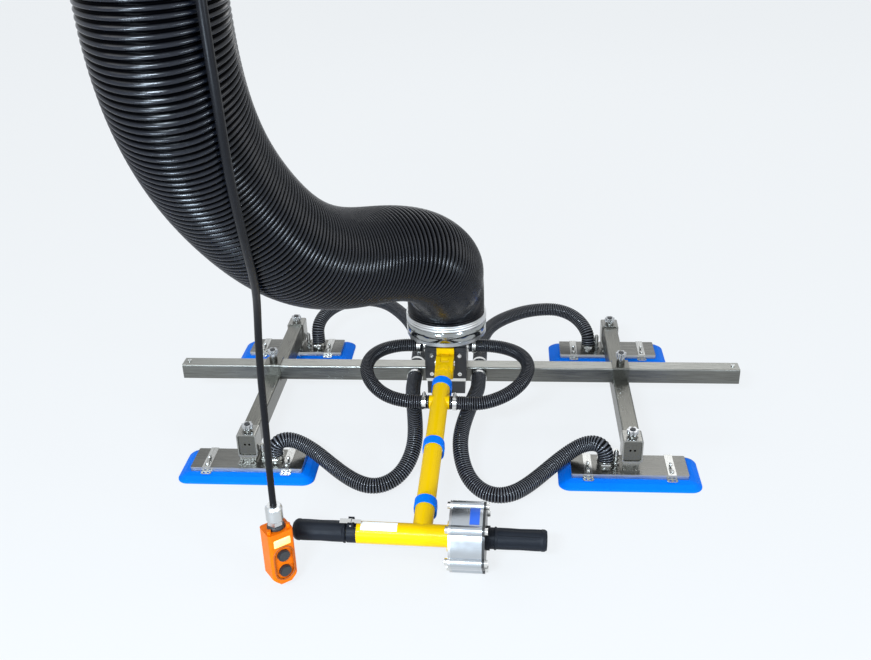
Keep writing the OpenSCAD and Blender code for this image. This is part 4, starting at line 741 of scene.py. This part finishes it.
for finish, nodes in finishes:
    for node in nodes.split():
        paint(bpy.data.objects[node], finish)
for pad in padMiddles:
    for part, finish in padFinishes.items():
        paint(bpy.data.objects[pad + "_" + part], finish)
for piece in hoses:
    paint(piece, loopBlack if "Loop" in piece.name else hoseBlack)
for piece, finish in ((tubeSkin, tubeBlack), (cable, cableBlack), (leftSleeve, gripRubber),
                      (rightSleeve, gripRubber), (labels["valveLabel"], labelBlue),
                      (labels["crossTubeLabel"], labelWhite), (pendantLabel, labelYellow),
                      (buttonRim, rimOrange), (glandTie, blackPlastic)):
    paint(piece, finish)
for group, finish in ((pins, fittingSteel), (bands, bandMirror), (rings, satinAluminium)):
    for piece in group:
        paint(piece, finish)
for piece in knobCaps:
    paint(piece, blackPlastic)
print("materials made")


# Floor, world and lamps; what the camera sees directly, in a mirror or through glass is the pale backdrop
def directSight(nodes, links, path):
    total = path.outputs["Is Camera Ray"]
    for ray in ("Is Glossy Ray", "Is Transmission Ray"):
        add = nodes.new("ShaderNodeMath")
        add.operation = "ADD"
        add.use_clamp = True
        links.new(total, add.inputs[0])
        links.new(path.outputs[ray], add.inputs[1])
        total = add.outputs[0]
    return total


def scaled(nodes, links, value, share):
    times = nodes.new("ShaderNodeMath")
    times.operation = "MULTIPLY"
    times.inputs[1].default_value = share
    links.new(value, times.inputs[0])
    return times.outputs[0]


# Floor in metres, with the share of its direct sight that glows like the backdrop
floorLook = {"reach": 30, "low": -0.0005, "colour": (0.70, 0.72, 0.74), "rough": 0.9,
             "glow": (0.905, 0.934, 0.958), "glowShare": 0.86}


def makeStage():
    mesh = bpy.data.meshes.new("floor")
    reach, low = floorLook["reach"], floorLook["low"]
    corners = [(x * reach, y * reach, low) for x, y in ((-1, -1), (1, -1), (1, 1), (-1, 1))]
    mesh.from_pydata(corners, [], [(0, 1, 2, 3)])
    floor = bpy.data.objects.new("floor", mesh)
    bpy.context.scene.collection.objects.link(floor)
    m = bpy.data.materials.new("floor")
    m.use_nodes = True
    nodes, links = m.node_tree.nodes, m.node_tree.links
    bsdf = nodes["Principled BSDF"]
    bsdf.inputs["Base Color"].default_value = (*floorLook["colour"], 1)
    bsdf.inputs["Roughness"].default_value = floorLook["rough"]
    glow = nodes.new("ShaderNodeEmission")
    glow.inputs["Color"].default_value = (*floorLook["glow"], 1)
    mix = nodes.new("ShaderNodeMixShader")
    path = nodes.new("ShaderNodeLightPath")
    direct = directSight(nodes, links, path)
    links.new(scaled(nodes, links, direct, floorLook["glowShare"]), mix.inputs["Fac"])
    links.new(bsdf.outputs["BSDF"], mix.inputs[1])
    links.new(glow.outputs["Emission"], mix.inputs[2])
    links.new(mix.outputs["Shader"], nodes["Material Output"].inputs["Surface"])
    mesh.materials.append(m)


# World: the backdrop as it is seen directly, and the soft light that it gives
worldLook = {"seen": (0.872, 0.905, 0.943), "light": (0.86, 0.93, 1.0), "strength": 0.62}


def makeWorld():
    world = bpy.data.worlds.new("studio")
    bpy.context.scene.world = world
    world.use_nodes = True
    nodes, links = world.node_tree.nodes, world.node_tree.links
    seen = nodes["Background"]
    seen.inputs["Color"].default_value = (*worldLook["seen"], 1)
    soft = nodes.new("ShaderNodeBackground")
    soft.inputs["Color"].default_value = (*worldLook["light"], 1)
    soft.inputs["Strength"].default_value = worldLook["strength"]
    path = nodes.new("ShaderNodeLightPath")
    mix = nodes.new("ShaderNodeMixShader")
    links.new(directSight(nodes, links, path), mix.inputs["Fac"])
    links.new(soft.outputs["Background"], mix.inputs[1])
    links.new(seen.outputs["Background"], mix.inputs[2])
    links.new(mix.outputs["Shader"], nodes["World Output"].inputs["Surface"])


# Area lamps in metres and watts, each one aimed at a spot on the part
lamps = {
    "keyLamp": {"place": (-2.2, -1.9, 3.0), "aim": (0, 0.2, 0.2), "size": (1.6, 1.6), "power": 25},
    "backLamp": {"place": (0.4, 4.2, 3.4), "aim": (0, 0.3, 0.1), "size": (4.0, 1.0), "power": 40},
    "sideLamp": {"place": (3.2, -0.6, 2.2), "aim": (0, 0.2, 0.2), "size": (1.4, 1.8), "power": 20},
    "frontLamp": {"place": (-0.55, -2.4, 1.9), "aim": (-0.1, -0.2, 0.6), "size": (0.62, 0.2),
                  "power": 80, "colour": (0.74, 0.87, 1.0)},
    "lowLamp": {"place": (-0.9, -2.3, 0.3), "aim": (-0.2, -0.4, 0.75), "size": (0.5, 0.22),
                "power": 45, "colour": (0.70, 0.85, 1.0)},
    "lowSideLamp": {"place": (1.9, -2.0, 0.75), "aim": (-0.05, -0.1, 0.55), "size": (0.5, 0.25),
                    "power": 35, "colour": (0.74, 0.87, 1.0)},
}


def softbox(name, place, aim, size, power, colour=(1, 1, 1)):
    data = bpy.data.lights.new(name, "AREA")
    data.shape = "RECTANGLE"
    data.size, data.size_y = size
    data.energy = power
    data.color = colour
    lamp = bpy.data.objects.new(name, data)
    lamp.location = place
    lamp.rotation_euler = (Vector(aim) - Vector(place)).to_track_quat("-Z", "Y").to_euler()
    bpy.context.scene.collection.objects.link(lamp)


makeStage()
makeWorld()
for name, settings in lamps.items():
    softbox(name, **settings)
bpy.context.scene.view_settings.view_transform = "Standard"
print("stage made")
